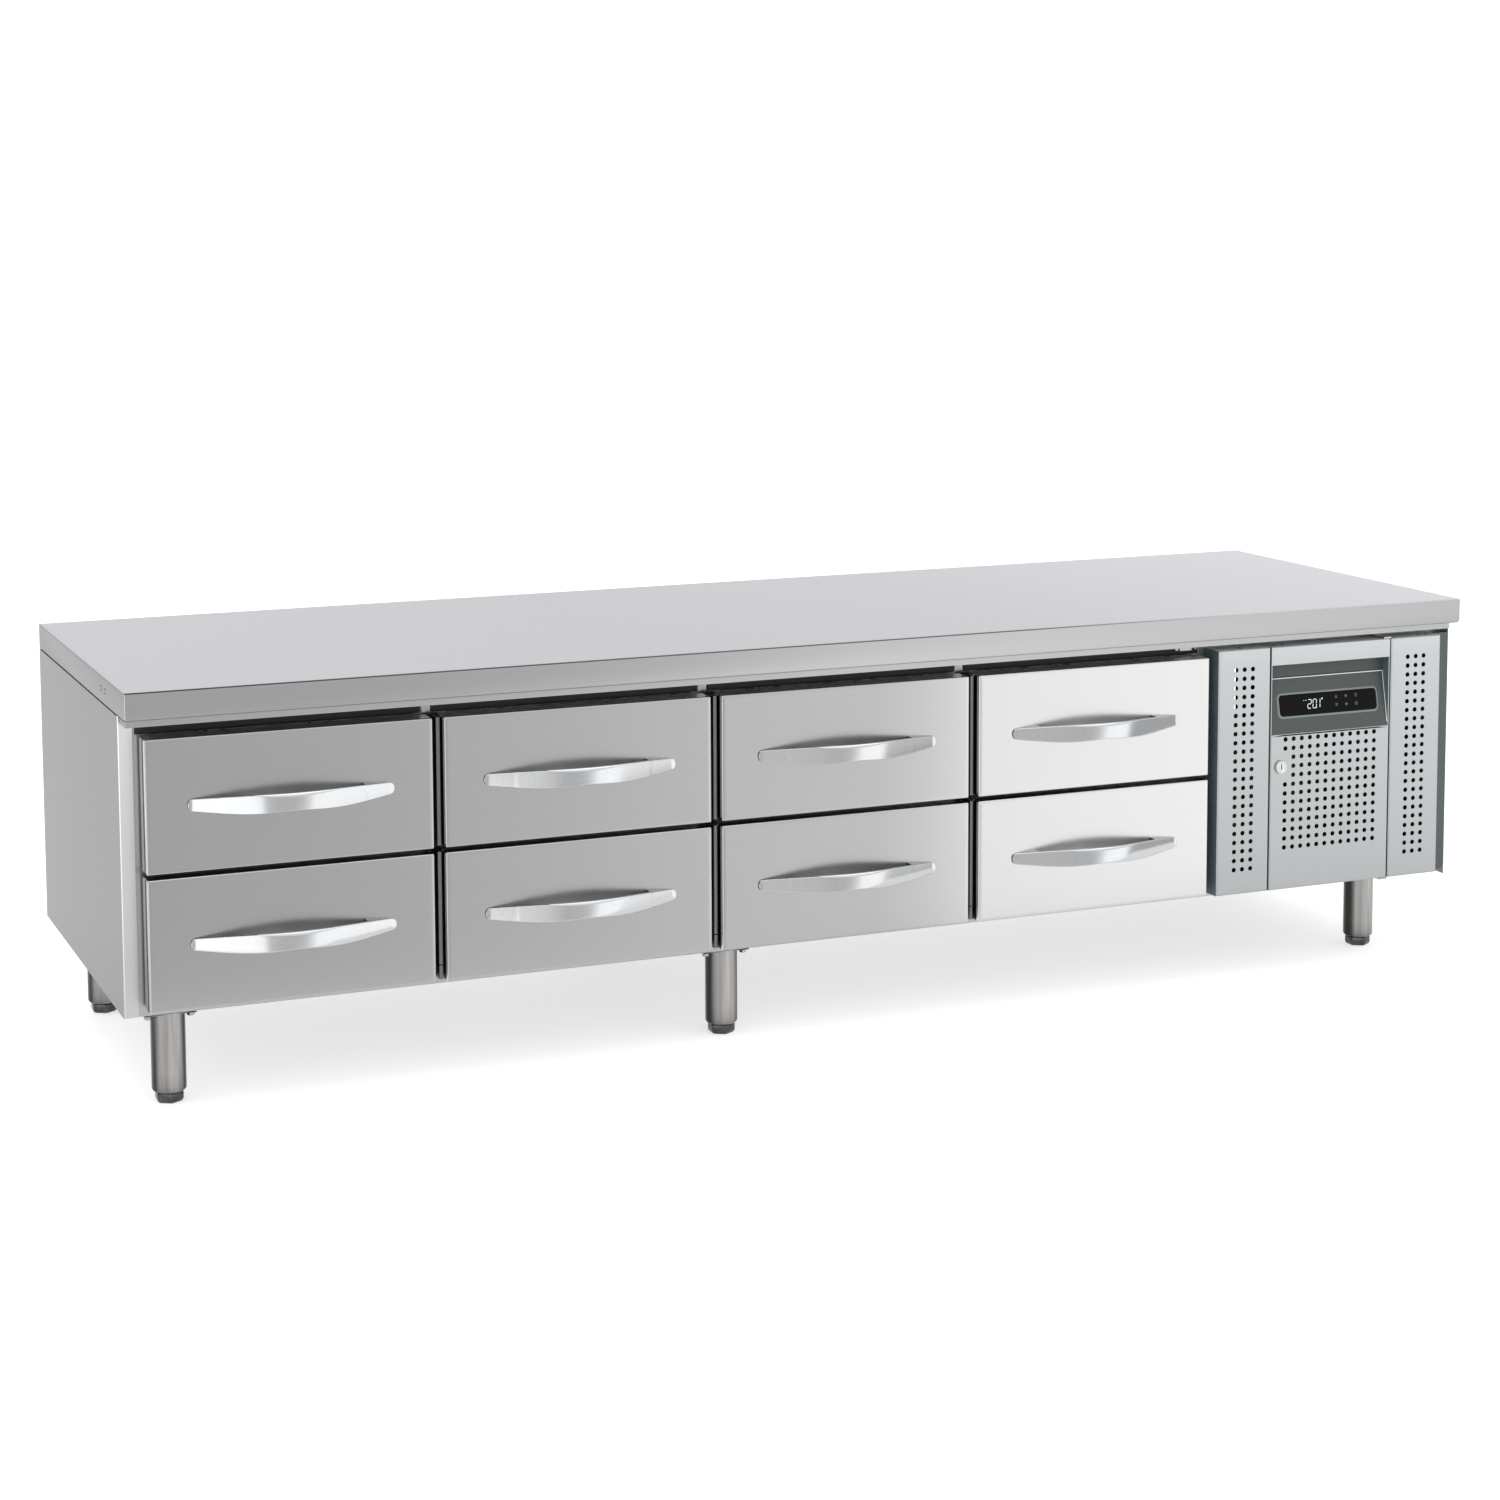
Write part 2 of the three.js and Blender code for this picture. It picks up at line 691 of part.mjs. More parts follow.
function makeLegs() {
  const places = {
    left: xLeft + legInsetLeft,
    middle: drawerLeft(columns / 2) - drawerSideGap / 2 + middleLegOffset,
    right: xRight - legInsetRight,
  };
  const rows = { front: yFront + legInsetFront, rear: yFront + worktopDepth - legInsetBack };
  const top = undersideHeight - fitGap;
  const tubeBottom = footHeight + fitGap;
  const bore = stemRadius + threadClearance;
  const boreTop = footHeight + stemLength + threadClearance;
  const bend = legEndRounding * (1 - Math.SQRT1_2);
  const tubeProfile = [
    [0, boreTop], [bore, boreTop], [bore, tubeBottom],
    [legRadius - legEndRounding, tubeBottom],
    [legRadius - bend, tubeBottom + bend],
    [legRadius, tubeBottom + legEndRounding],
    [legRadius, top - legFlangeThickness], [legFlangeRadius, top - legFlangeThickness],
    [legFlangeRadius, top], [0, top]];
  const hexRadius = footAcrossFlats / Math.sqrt(3);
  const footProfile = [
    [0, 0], [footSoleRadius, 0], [hexRadius, footSoleHeight], [hexRadius, footHeight],
    [0, footHeight]];
  for (const row of Object.keys(rows)) {
    for (const [place, x] of Object.entries(places)) {
      const underMachine = row === 'front' && place === 'right';
      const y = underMachine ? yFront + machineLegInsetFront : rows[row];
      addPart(`leg_${row}_${place}`, turned(tubeProfile, x, y, legFacets), brushedSteel);
      const foot = joined(
        turned(footProfile, x, y, holeFacets),
        barZ(x, y, stemRadius, footHeight - overrun, footHeight + stemLength, rollerFacets));
      addPart(`foot_${row}_${place}`, foot, brushedSteel);
    }
  }
}

// Machine cover: perforated panels folded from sheet

function punched(shape, columnsOfHoles, rowsOfHoles, middleX, topZ, skipped = () => false) {
  for (let i = 0; i < columnsOfHoles; i += 1) {
    for (let j = 0; j < rowsOfHoles; j += 1) {
      if (skipped(i, j)) continue;
      const x = middleX + (i - (columnsOfHoles - 1) / 2) * holePitchX;
      const z = topZ - j * holePitchZ;
      const corners = Array.from({ length: holeFacets }, (_, k) => {
        const angle = ((k + 0.5) * 2 * Math.PI) / holeFacets;
        return [x + (holeDiameter / 2) * Math.cos(angle), z + (holeDiameter / 2) * Math.sin(angle)];
      });
      shape.holes.push(shapeOf(corners));
    }
  }
  return shape;
}

// Side grille: its outer side return and its top and bottom returns reach back to the cabinet,
// and the return beside the door is short, so that the lock's cam can hook behind it
function makeSideGrille(name, left, right, outerSide) {
  const plate = punched(
    rectangle(left, right, coverBottom, coverTop), grilleHoleColumns, grilleHoleRows,
    (left + right) / 2, coverTop - grilleTopMargin);
  const back = cabinetFront - fitGap;
  const outer = outerSide < 0 ? [left, left + sheet] : [right - sheet, right];
  const inner = outerSide < 0 ? [right - sheet, right] : [left, left + sheet];
  addPart(name, joined(
    carriedY(plate, faceY, faceY + sheet),
    block(...outer, faceY, back, coverBottom, coverTop),
    block(...inner, faceY, faceY + coverReturn, coverBottom, coverTop),
    block(left, right, faceY, back, coverTop - sheet, coverTop),
    block(left, right, faceY, back, coverBottom, coverBottom + sheet)), paleSteel);
}

const lockX = doorLeft + lockInset;
const lockZ = bezelBottom - doorHoleTopMargin - lockRow * holePitchZ;

// Service door: a strip above and a perforated sheet below the control bezel, joined by the
// side returns, with a hinge pin above and below that turns in the cabinet's tabs
function makeServiceDoor() {
  const besideLock = (i, j) => i === 0 && Math.abs(j - lockRow) <= 1;
  const lower = punched(
    rectangle(doorLeft, doorRight, coverBottom, bezelBottom), doorHoleColumns, doorHoleRows,
    doorMiddle, bezelBottom - doorHoleTopMargin, besideLock);
  const back = faceY + doorReturn;
  const door = joined(
    carriedY(lower, faceY, faceY + sheet),
    block(doorLeft, doorRight, faceY, faceY + sheet, stripBottom, coverTop),
    block(doorLeft, doorLeft + sheet, faceY, back, coverBottom, coverTop),
    block(doorRight - sheet, doorRight, faceY, back, coverBottom, coverTop),
    block(doorLeft, doorRight, faceY, back, coverTop - sheet, coverTop),
    block(doorLeft, doorRight, faceY, back, coverBottom, coverBottom + sheet),
    barZ(hingeX, hingeY, hingePinRadius, coverTop - sheet, coverTop + hingePinLength, rollerFacets),
    barZ(hingeX, hingeY, hingePinRadius, coverBottom - hingePinLength, coverBottom + sheet,
      rollerFacets));
  const lockHole = barY(
    lockX, lockZ, lockBarrelRadius + lockBarrelClearance, faceY - overrun,
    faceY + sheet + overrun, rollerFacets);
  addPart('service_door', cut(door, lockHole), paleSteel);
}

// Control bezel: its face leans back from the door's face to the bottom of a shallow recess.
// The controller lies on the middle of the leaning face, sunk into a pocket.
const faceLean = Math.atan2(recessDepth, bezelFaceHeight);

function onBezelFace(shape, from, to) {
  const geometry = extruded(shape, to - from).translate(0, 0, from);
  geometry.rotateX(Math.PI / 2 - faceLean);
  geometry.translate(doorMiddle, faceY + recessDepth / 2, bezelBottom + bezelFaceHeight / 2);
  return solidFrom(geometry);
}

function makeControls() {
  const side = sheet + fitGap;
  const section = shapeOf([
    [faceY, bezelBottom + fitGap],
    [faceY + bezelBodyDepth, bezelBottom + fitGap],
    [faceY + bezelBodyDepth, stripBottom - fitGap],
    [faceY + recessDepth, stripBottom - fitGap],
    [faceY + recessDepth, bezelFaceTop]]);
  const housing = block(
    doorLeft + bezelHousingInset, doorRight - bezelHousingInset,
    faceY + bezelBodyDepth - overrun, faceY + bezelHousingDepth,
    bezelBottom + fitGap, stripBottom - fitGap);
  const pocketShape = roundedRectangle(
    controllerWidth + 2 * fitGap, controllerHeight + 2 * fitGap, controllerRadius + fitGap);
  const bezel = cut(
    joined(carriedX(section, doorLeft + side, doorRight - side), housing),
    onBezelFace(pocketShape, -controllerSink, controllerSink));
  addPart('control_bezel', bezel, greyPlastic);
  const glass = roundedRectangle(controllerWidth, controllerHeight, controllerRadius);
  addPart('controller', onBezelFace(glass, fitGap - controllerSink, controllerProud), darkGlass);
}

// Lock: a key barrel through the door with a cam behind it, which points up when unlocked
function makeLock() {
  const flangeBack = faceY - fitGap;
  const flangeFront = flangeBack - lockFlangeThickness;
  const camFront = faceY + lockBarrelLength;
  const lock = joined(
    barY(lockX, lockZ, lockFlangeRadius, flangeFront, flangeBack),
    barY(lockX, lockZ, lockBarrelRadius, flangeBack - overrun, camFront + overrun, rollerFacets),
    block(lockX - camWidth / 2, lockX + camWidth / 2, camFront, camFront + camThickness,
      lockZ - camWidth / 2, lockZ + camLength));
  const keySlot = block(
    lockX - keySlotWidth / 2, lockX + keySlotWidth / 2, flangeFront - overrun,
    flangeFront + keySlotDepth, lockZ - keySlotLength / 2, lockZ + keySlotLength / 2);
  addPart('door_lock', cut(lock, keySlot), satinAluminium);
}

// Cooling unit

// Outline of a finned block, fins standing out on both faces, drawn about its middle
function finnedOutline(width, core, reach, count) {
  const pitch = (width - finThickness) / (count - 1);
  const points = [];
  for (const face of [-1, 1]) {
    for (let i = 0; i < count; i += 1) {
      const u = face * (i * pitch - width / 2);
      const [root, tip] = [(face * core) / 2, face * (core / 2 + reach)];
      const end = u + face * finThickness;
      if (i > 0) points.push([-u, -root]);
      points.push([-u, -tip], [-end, -tip]);
      if (i < count - 1) points.push([-end, -root]);
    }
  }
  return shapeOf(points);
}

// Fan rotor about the Y axis, with blades pitched on a hub
function fanRotor(radius, hubRadius, hubLength, width) {
  const hub = barY(0, 0, hubRadius, -hubLength / 2, hubLength / 2);
  const rotor = [hub];
  for (let i = 0; i < fanBlades; i += 1) {
    const blade = new THREE.BoxGeometry(width, bladeThickness, radius - hubRadius + sheet);
    blade.rotateZ(bladePitch).translate(0, 0, (radius + hubRadius - sheet) / 2);
    rotor.push(solidFrom(blade.rotateY((i * 2 * Math.PI) / fanBlades)));
  }
  return joined(rotor);
}

function makeCondenser() {
  const depth = condenserCore + 2 * condenserFinReach;
  const front = bayFront + condenserSetback;
  const back = front + depth;
  const bottom = bayFloor + fitGap;
  const top = bottom + condenserHeight;
  const middleZ = (bottom + top) / 2;
  const outline = finnedOutline(condenserWidth, condenserCore, condenserFinReach, condenserFins);
  const coil = carriedZ(outline, bottom, top).translate([doorMiddle, (front + back) / 2, 0]);
  const across = [doorMiddle - condenserWidth / 2, doorMiddle + condenserWidth / 2];
  const tunnel = condenserFanRadius + fanTipClearance;
  const shroudBack = back + shroudDepth;
  const wall = carriedY(
    rectangularRing(...across, bottom, top, shroudWall),
    back - condenserFinReach - overrun, shroudBack);
  const backPlate = cut(
    block(...across, shroudBack - shroudWall, shroudBack, bottom, top),
    barY(doorMiddle, middleZ, tunnel, shroudBack - shroudWall - overrun, shroudBack + overrun));
  const motorFront = shroudBack + fanRearClearance;
  const armBack = shroudBack + motorArmThickness;
  const arms = [
    block(doorMiddle - tunnel - motorArmWidth, doorMiddle + tunnel + motorArmWidth,
      armBack, armBack + motorArmThickness, middleZ - motorArmWidth / 2, middleZ + motorArmWidth / 2),
    ...[-1, 1].map((side) => block(
      doorMiddle + side * tunnel, doorMiddle + side * (tunnel + motorArmWidth),
      shroudBack - overrun, armBack + motorArmThickness,
      middleZ - motorArmWidth / 2, middleZ + motorArmWidth / 2))];
  const motor = barY(doorMiddle, middleZ, motorRadius, armBack, motorFront + motorLength);
  addPart('condenser', joined(coil, wall, backPlate, arms, motor), galvanised);

  const rotor = fanRotor(condenserFanRadius, fanHubRadius, fanHubLength, condenserBladeWidth);
  const hubBack = armBack - fitGap;
  addPart('condenser_fan',
    rotor.translate([doorMiddle, hubBack - fanHubLength / 2, middleZ]), blackEnamel);
}

function makeEvaporator() {
  const bottom = coldFloor + fitGap;
  const top = coldCeiling - evaporatorHeadroom;
  const right = chamberRight - fitGap;
  const left = right - evaporatorWidth;
  const ventMiddleY = ventY + ventLength / 2;
  const fanZ = (channelTop(lowerLevel) + channelBottom(upperLevel)) / 2;
  const core = evaporatorWidth - 2 * evaporatorFinReach;
  const outline = finnedOutline(evaporatorLength, core, evaporatorFinReach, evaporatorFins);
  const coil = carriedZ(outline, bottom, top)
    .rotate([0, 0, 90]).translate([(left + right) / 2, ventMiddleY, 0]);
  const hubLeft = bayLeft + evaporatorFanWall;
  const hubRight = hubLeft + evaporatorHubLength;
  const motor = barX(
    ventMiddleY, fanZ, evaporatorMotorRadius, hubRight + fitGap, left + evaporatorFinReach + overrun);
  addPart('evaporator', joined(coil, motor), galvanised);

  const rotor = fanRotor(
    evaporatorFanRadius, evaporatorHubRadius, evaporatorHubLength, evaporatorBladeWidth);
  addPart('evaporator_fan',
    rotor.rotate([0, 0, 90]).translate([(hubLeft + hubRight) / 2, ventMiddleY, fanZ]), blackEnamel);
}

// Compressor: a domed welded shell on a plate with four rubber feet. Shares of radius and height.
const compressorProfileShares = [
  [0, 0], [0.8, 0], [0.98, 0.1], [1, 0.4], [1.03, 0.42], [1.03, 0.46], [1, 0.48], [0.97, 0.76],
  [0.78, 0.93], [0.42, 1], [0, 1]];

function makeCompressor() {
  const x = bayRight - compressorFromRight;
  const y = bayBack - compressorFromBack;
  const plateBottom = bayFloor + fitGap + compressorFootHeight;
  const plateTop = plateBottom + compressorPlateThickness;
  const shellBottom = plateTop - overrun;
  const profile = compressorProfileShares.map(([r, h]) => [
    r * compressorRadius, shellBottom + h * compressorHeight]);
  const halfLength = compressorPlateLength / 2;
  const halfWidth = compressorPlateWidth / 2;
  const plate = block(x - halfLength, x + halfLength, y - halfWidth, y + halfWidth, plateBottom, plateTop);
  const feet = [-1, 1].flatMap((i) => [-1, 1].map((j) => barZ(
    x + i * (halfLength - compressorFootRadius), y + j * (halfWidth - compressorFootRadius),
    compressorFootRadius, bayFloor + fitGap, plateBottom + overrun, rollerFacets)));
  const port = barY(
    x, shellBottom + compressorHeight / 2, servicePortRadius,
    y - compressorRadius - servicePortLength, y, rollerFacets);
  addPart('compressor', joined(turned(profile, x, y, roundFacets), plate, feet, port), blackEnamel);
}

makeWorktop();
makeCabinetBody();
makeRunnerRacks();
makeDrawers();
makeLegs();
makeSideGrille('grille_left', coverLeft, coverLeft + sideGrilleWidth, -1);
makeSideGrille('grille_right', coverRight - sideGrilleWidth, coverRight, 1);
makeServiceDoor();
makeControls();
makeLock();
makeCondenser();
makeEvaporator();
makeCompressor();

export default chefBase;
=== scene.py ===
# %% [markdown]
# # A refrigerated chef base
# A low cooled cabinet for a kitchen: eight steel drawers, a perforated machine cover with a
# controller, a flat worktop and six screw feet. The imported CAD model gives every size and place.
# This file gives the looks: folded sheets with soft edges, brushed metal, round holes and a studio.

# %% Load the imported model
import math

import bmesh
import bpy
import numpy as np
from mathutils import Matrix, Vector


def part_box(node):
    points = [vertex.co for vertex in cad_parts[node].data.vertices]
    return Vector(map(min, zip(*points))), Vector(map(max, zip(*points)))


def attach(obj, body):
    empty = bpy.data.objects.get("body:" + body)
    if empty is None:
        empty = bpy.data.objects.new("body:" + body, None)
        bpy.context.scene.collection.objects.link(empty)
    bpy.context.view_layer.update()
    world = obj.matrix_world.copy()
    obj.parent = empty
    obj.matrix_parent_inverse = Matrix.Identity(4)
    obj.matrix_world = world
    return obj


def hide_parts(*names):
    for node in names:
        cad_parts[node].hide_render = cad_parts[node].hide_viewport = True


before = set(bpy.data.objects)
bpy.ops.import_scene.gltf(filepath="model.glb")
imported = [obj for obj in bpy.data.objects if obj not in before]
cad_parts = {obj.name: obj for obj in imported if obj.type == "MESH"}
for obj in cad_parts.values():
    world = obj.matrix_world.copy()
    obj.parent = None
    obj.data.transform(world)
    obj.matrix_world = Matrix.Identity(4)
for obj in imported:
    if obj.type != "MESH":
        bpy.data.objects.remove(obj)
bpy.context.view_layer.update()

# %% [markdown]
# ## Working in millimetres
# Sheet-metal work is drawn in millimetres, and Blender counts in metres. All helpers below take
# millimetres, and one place, the function that makes the object, turns them into metres.
# A shape is a shell: an array of points, a list of faces, and the number of its material.

# %% Places read from the CAD model
METRE = 0.001
X, Y, Z = AXES = np.eye(3)


def place(node):
    """Lowest and highest corner of a CAD node, in millimetres."""
    low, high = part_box(node)
    return np.array(low) / METRE, np.array(high) / METRE


top_low, top_high = place("worktop")
body_low, body_high = place("cabinet_body")
face_y = place("drawer_1_upper_front")[0][1]
cabinet_front = place("drawer_1_upper_gasket")[1][1] + 0.3
print("face of the drawers at y", round(face_y, 2), "cabinet front at", round(cabinet_front, 2))

# %% [markdown]
# ## From rings of points to a skin
# Most pieces here are a row of rings, like the hoops of a barrel: each ring has the same number
# of points, and quads join each ring to the next. One helper covers trays, tubes and handles.


# %% Skins and rounded rectangles
def skin(rings, caps=(True, True), material=0):
    """Quads between rings of equally many points. A cap closes the first or the last ring."""
    rings = np.asarray(rings, float)
    count, points = rings.shape[:2]
    index = np.arange(count * points).reshape(count, points)
    beside = np.roll(index, -1, axis=1)
    quads = np.stack([index[:-1], beside[:-1], beside[1:], index[1:]], axis=-1)
    faces = quads.reshape(-1, 4).tolist()
    if caps[0]:
        faces.append(index[0][::-1].tolist())
    if caps[1]:
        faces.append(index[-1].tolist())
    return rings.reshape(-1, 3), faces, material


CORNERS = np.array([(1, 1), (-1, 1), (-1, -1), (1, -1)])


def corner_angles(steps):
    """The angles of four quarter circles, one row for each corner, counter-clockwise."""
    return np.linspace(0, np.pi / 2, steps + 1) + np.arange(4)[:, None] * np.pi / 2


def rounded_rectangle(width, height, radius, steps=4):
    """Four quarter circles of that radius, one round each corner of a smaller rectangle."""
    angle = corner_angles(steps)
    middle = CORNERS * (width / 2 - radius, height / 2 - radius)
    arcs = np.stack([np.cos(angle), np.sin(angle)], axis=-1) * radius
    return (middle[:, None] + arcs).reshape(-1, 2)


# %% Stacks with soft edges
def softened(radius, depth, steps=4, margin=4.0):
    """Inset and depth pairs from a flat face over a quarter circle to the side below it."""
    angle = np.linspace(0, np.pi / 2, steps + 1)
    pairs = np.stack([radius * (1 - np.sin(angle)), depth + radius * (1 - np.cos(angle))], axis=-1)
    return [(radius + margin, depth), *pairs.tolist()]


def closing(radius, depth, steps=3, margin=4.0):
    """Inset and depth pairs from a side over a quarter circle to the flat back at that depth."""
    return [(inset, depth - down) for inset, down in softened(radius, 0, steps, margin)[::-1]]


def stack(origin, size, radius, profile, u=X, v=Z, w=Y, material=0, steps=4):
    """Rounded rectangles in the plane of u and v, each inset and moved along w by its pair."""
    width, height = size
    rings = []
    for inset, depth in profile:
        corner = max(radius - inset, 0.2)
        flat = rounded_rectangle(width - 2 * inset, height - 2 * inset, corner, steps)
        rings.append(np.asarray(origin) + flat[:, :1] * u + flat[:, 1:] * v + depth * w)
    return skin(rings, material=material)


# %% Plates and turned pieces
def slab(low, high, radius=0.6, axis=1, material=0, steps=3):
    """A plate between two corners with every edge rounded, its flat faces square to one axis."""
    low, high = np.asarray(low, float), np.asarray(high, float)
    first, second = (axis + 1) % 3, (axis + 2) % 3
    size = high - low
    radius = min(radius, 0.45 * size.min())
    origin = (low + high) / 2
    origin[axis] = low[axis]
    margin = min(4.0, 0.2 * min(size[first], size[second]))
    profile = softened(radius, 0, steps, margin) + closing(radius, size[axis], steps, margin)
    return stack(origin, (size[first], size[second]), radius, profile,
                 AXES[first], AXES[second], AXES[axis], material)


def turned(profile, centre, u=X, v=Y, w=Z, steps=64, material=0):
    """Radius and height pairs turned about the axis w through a centre."""
    angle = np.linspace(0, 2 * np.pi, steps, endpoint=False)
    circle = np.cos(angle)[:, None] * u + np.sin(angle)[:, None] * v
    rings = [np.asarray(centre) + radius * circle + height * w for radius, height in profile]
    return skin(rings, material=material)


# %% [markdown]
# ## Folded sheet
# A folded sheet is a ribbon: a line with round bends, given a thickness and carried along the
# third direction. The bends catch the light as thin bright or dark lines, which is what makes
# steel sheet look like steel sheet.


# %% Ribbons
def bent(path, radius, steps=4):
    """A line through the points with each corner replaced by a short round curve."""
    path = np.asarray(path, float)
    before, corner, after = path[:-2], path[1:-1], path[2:]
    into = (before - corner) / np.linalg.norm(before - corner, axis=1, keepdims=True) * radius
    out = (after - corner) / np.linalg.norm(after - corner, axis=1, keepdims=True) * radius
    t = np.linspace(0, 1, steps + 1)[None, :, None]
    curves = corner[:, None] + into[:, None] * (1 - t) ** 2 + out[:, None] * t**2
    return np.vstack([path[:1], curves.reshape(-1, 2), path[-1:]])


def ribbon(path, thickness):
    """A closed loop: the line, then the same line moved sideways by the thickness, reversed."""
    path = np.asarray(path, float)
    step = np.gradient(path, axis=0)
    step /= np.linalg.norm(step, axis=1, keepdims=True)
    side = np.stack([-step[:, 1], step[:, 0]], axis=-1)
    return np.vstack([path, (path + side * thickness)[::-1]])


def carried(loop, start, end, axis):
    """A loop in the two other axes, in turn, carried along one axis from start to end."""
    first, second = [(Y, Z), (X, Z), (X, Y)][axis]
    flat = loop[:, :1] * first + loop[:, 1:] * second
    return skin([flat + at * AXES[axis] for at in (start, end)])


# %% [markdown]
# ## Making the object
# Each shell is welded and given outward normals by itself, then all shells of a piece share one
# mesh. Smooth shading with sharp edges above an angle keeps flat faces flat and bends round.


# %% Make one object from shells
def make(name, shells, materials, body, replaces=(), crease=38):
    """One object from closed shells, riding on a CAD body and standing for CAD nodes."""
    whole = bmesh.new()
    for points, faces, material in shells:
        part = bpy.data.meshes.new("part")
        part.from_pydata(points * METRE, [], faces)
        shell = bmesh.new()
        shell.from_mesh(part)
        bmesh.ops.remove_doubles(shell, verts=shell.verts, dist=1e-6)
        bmesh.ops.recalc_face_normals(shell, faces=shell.faces)
        shell.to_mesh(part)
        part.polygons.foreach_set("material_index", np.full(len(part.polygons), material))
        whole.from_mesh(part)
        shell.free()
        bpy.data.meshes.remove(part)
    mesh = bpy.data.meshes.new(name)
    whole.to_mesh(mesh)
    whole.free()
    mesh.shade_smooth()
    mesh.set_sharp_from_angle(angle=math.radians(crease))
    for material in materials:
        mesh.materials.append(material)
    piece = bpy.data.objects.new(name, mesh)
    bpy.context.scene.collection.objects.link(piece)
    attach(piece, body)
    if replaces:
        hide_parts(*replaces)
    return piece


def reface(piece, direction, index, limit=0.7):
    """Give faces that look along a direction another of the piece's materials."""
    for face in piece.data.polygons:
        if face.material_index == 0 and face.normal.dot(Vector(direction)) > limit:
            face.material_index = index


# %% [markdown]
# ## Nodes
# A material is a small net of nodes. Most nets here need the same few steps, so each step is one
# helper: a noise on the object's own metres, a value carried to another span, a colour by a value.


# %% Helpers for nodes
def added(tree, kind, inputs, **settings):
    """The outputs of a new node. Each input takes another node's output or a plain value."""
    node = tree.nodes.new(kind)
    for name, value in settings.items():
        setattr(node, name, value)
    for name, value in inputs.items():
        if isinstance(value, bpy.types.NodeSocket):
            tree.links.new(value, node.inputs[name])
        else:
            node.inputs[name].default_value = value
    return node.outputs


def reckoned(tree, operation, first, second):
    """One arithmetic step between two values."""
    return added(tree, "ShaderNodeMath", {0: first, 1: second}, operation=operation)["Value"]


def ranged(tree, value, low, high, start=0.3, end=0.7):
    """The value carried from one span to another. Most of a noise lies between 0.3 and 0.7."""
    return added(tree, "ShaderNodeMapRange", {
        "Value": value, "From Min": start, "From Max": end, "To Min": low, "To Max": high,
    })["Result"]


def ramped(tree, value, stops, interpolation="LINEAR"):
    """A colour by the value. Each stop is a place from 0 to 1 with its colour or plain grey."""
    node = tree.nodes.new("ShaderNodeValToRGB")
    node.color_ramp.interpolation = interpolation
    elements = node.color_ramp.elements
    for at, _ in stops[1:-1]:
        elements.new(at)
    for element, (at, colour) in zip(elements, stops):
        element.position, element.color = at, (*np.broadcast_to(colour, 3), 1)
    tree.links.new(value, node.inputs["Fac"])
    return node.outputs["Color"]


# %% Places and bearings
def turn_share(tree, x, y):
    """The direction of x and y as a share of a full turn, 0.5 where it points along y."""
    return ranged(tree, reckoned(tree, "ARCTAN2", x, y), 0, 1, -math.pi, math.pi)


def own_place(tree):
    """The place on the object, in metres."""
    return added(tree, "ShaderNodeTexCoord", {})["Object"]


def parted(tree, vector):
    """The X, Y and Z of a vector."""
    return added(tree, "ShaderNodeSeparateXYZ", {"Vector": vector})


# %% [markdown]
# ## Grain
# Brushed steel is rolled sheet scratched in one direction. A noise stretched along that direction
# changes colour, roughness and height a little. Metal is all reflection, so its grain changes its
# colour only a little; drifts and lighter or darker copies further on add painted light and shade.
# Rubber and plastic have the same net with an even noise.


# %% Greys and new materials
FINE, COARSE = 0.000004, 0.00002
COOL, WARM, GREEN, PLAIN = (0.98, 1.0, 1.02), (1.02, 1.0, 0.97), (0.86, 1.02, 1.0), (1, 1, 1)


def grey(level, tint=PLAIN):
    """A grey of that linear level, slightly tinted."""
    return tuple(level * part for part in tint)


def socket(material, name):
    """One of the sockets of the material's shader."""
    return material.node_tree.nodes["Principled BSDF"].inputs[name]


def started(name, colour, metallic, roughness):
    """A new material, with plain values on the shader's own sockets."""
    material = bpy.data.materials.new(name)
    material.use_nodes = True
    socket(material, "Base Color").default_value = (*colour, 1)
    socket(material, "Metallic").default_value = metallic
    socket(material, "Roughness").default_value = roughness
    return material


# %% Grain in colour, roughness and height
def noise(tree, stretch, detail=3.0):
    """Noise on the object's own metres: stretch is how many grains fit in a metre each way."""
    scaled = added(tree, "ShaderNodeMapping", {"Vector": own_place(tree), "Scale": stretch})
    return added(tree, "ShaderNodeTexNoise", {
        "Vector": scaled["Vector"], "Scale": 1, "Detail": detail})["Fac"]


def grained(name, metallic, levels, tint, rough, stretch, detail, relief):
    """One noise gives the grey, the roughness and, as a height in metres, the normal."""
    dark, light = [grey(level, tint) for level in levels]
    material = started(name, light, metallic, rough[0])
    tree = material.node_tree
    grain = noise(tree, stretch, detail)
    colour = ramped(tree, grain, [(0.3, dark), (0.7, light)])
    bump = added(tree, "ShaderNodeBump", {"Height": grain, "Distance": relief, "Strength": 1})
    tree.links.new(colour, socket(material, "Base Color"))
    tree.links.new(ranged(tree, grain, *rough), socket(material, "Roughness"))
    tree.links.new(bump["Normal"], socket(material, "Normal"))
    return material


def metal(name, levels, rough, grain, tint=PLAIN, relief=FINE, spread=0.0, around="X"):
    """Metal with a stretched grain. Spread draws the reflections out across the brushing."""
    material = grained(
        name, 1.0, levels, tint, rough, np.broadcast_to(grain, 3), 5.0, relief)
    if spread:
        tree = material.node_tree
        tangent = added(tree, "ShaderNodeTangent", {}, direction_type="RADIAL", axis=around)
        socket(material, "Anisotropic").default_value = spread
        tree.links.new(tangent["Tangent"], socket(material, "Tangent"))
    return material


def dull(name, levels, rough, grain, tint=PLAIN, relief=0.00005):
    """A material that isn't metal, with as many grains in a metre each way."""
    return grained(name, 0.0, levels, tint, rough, (grain,) * 3, 4.0, relief)
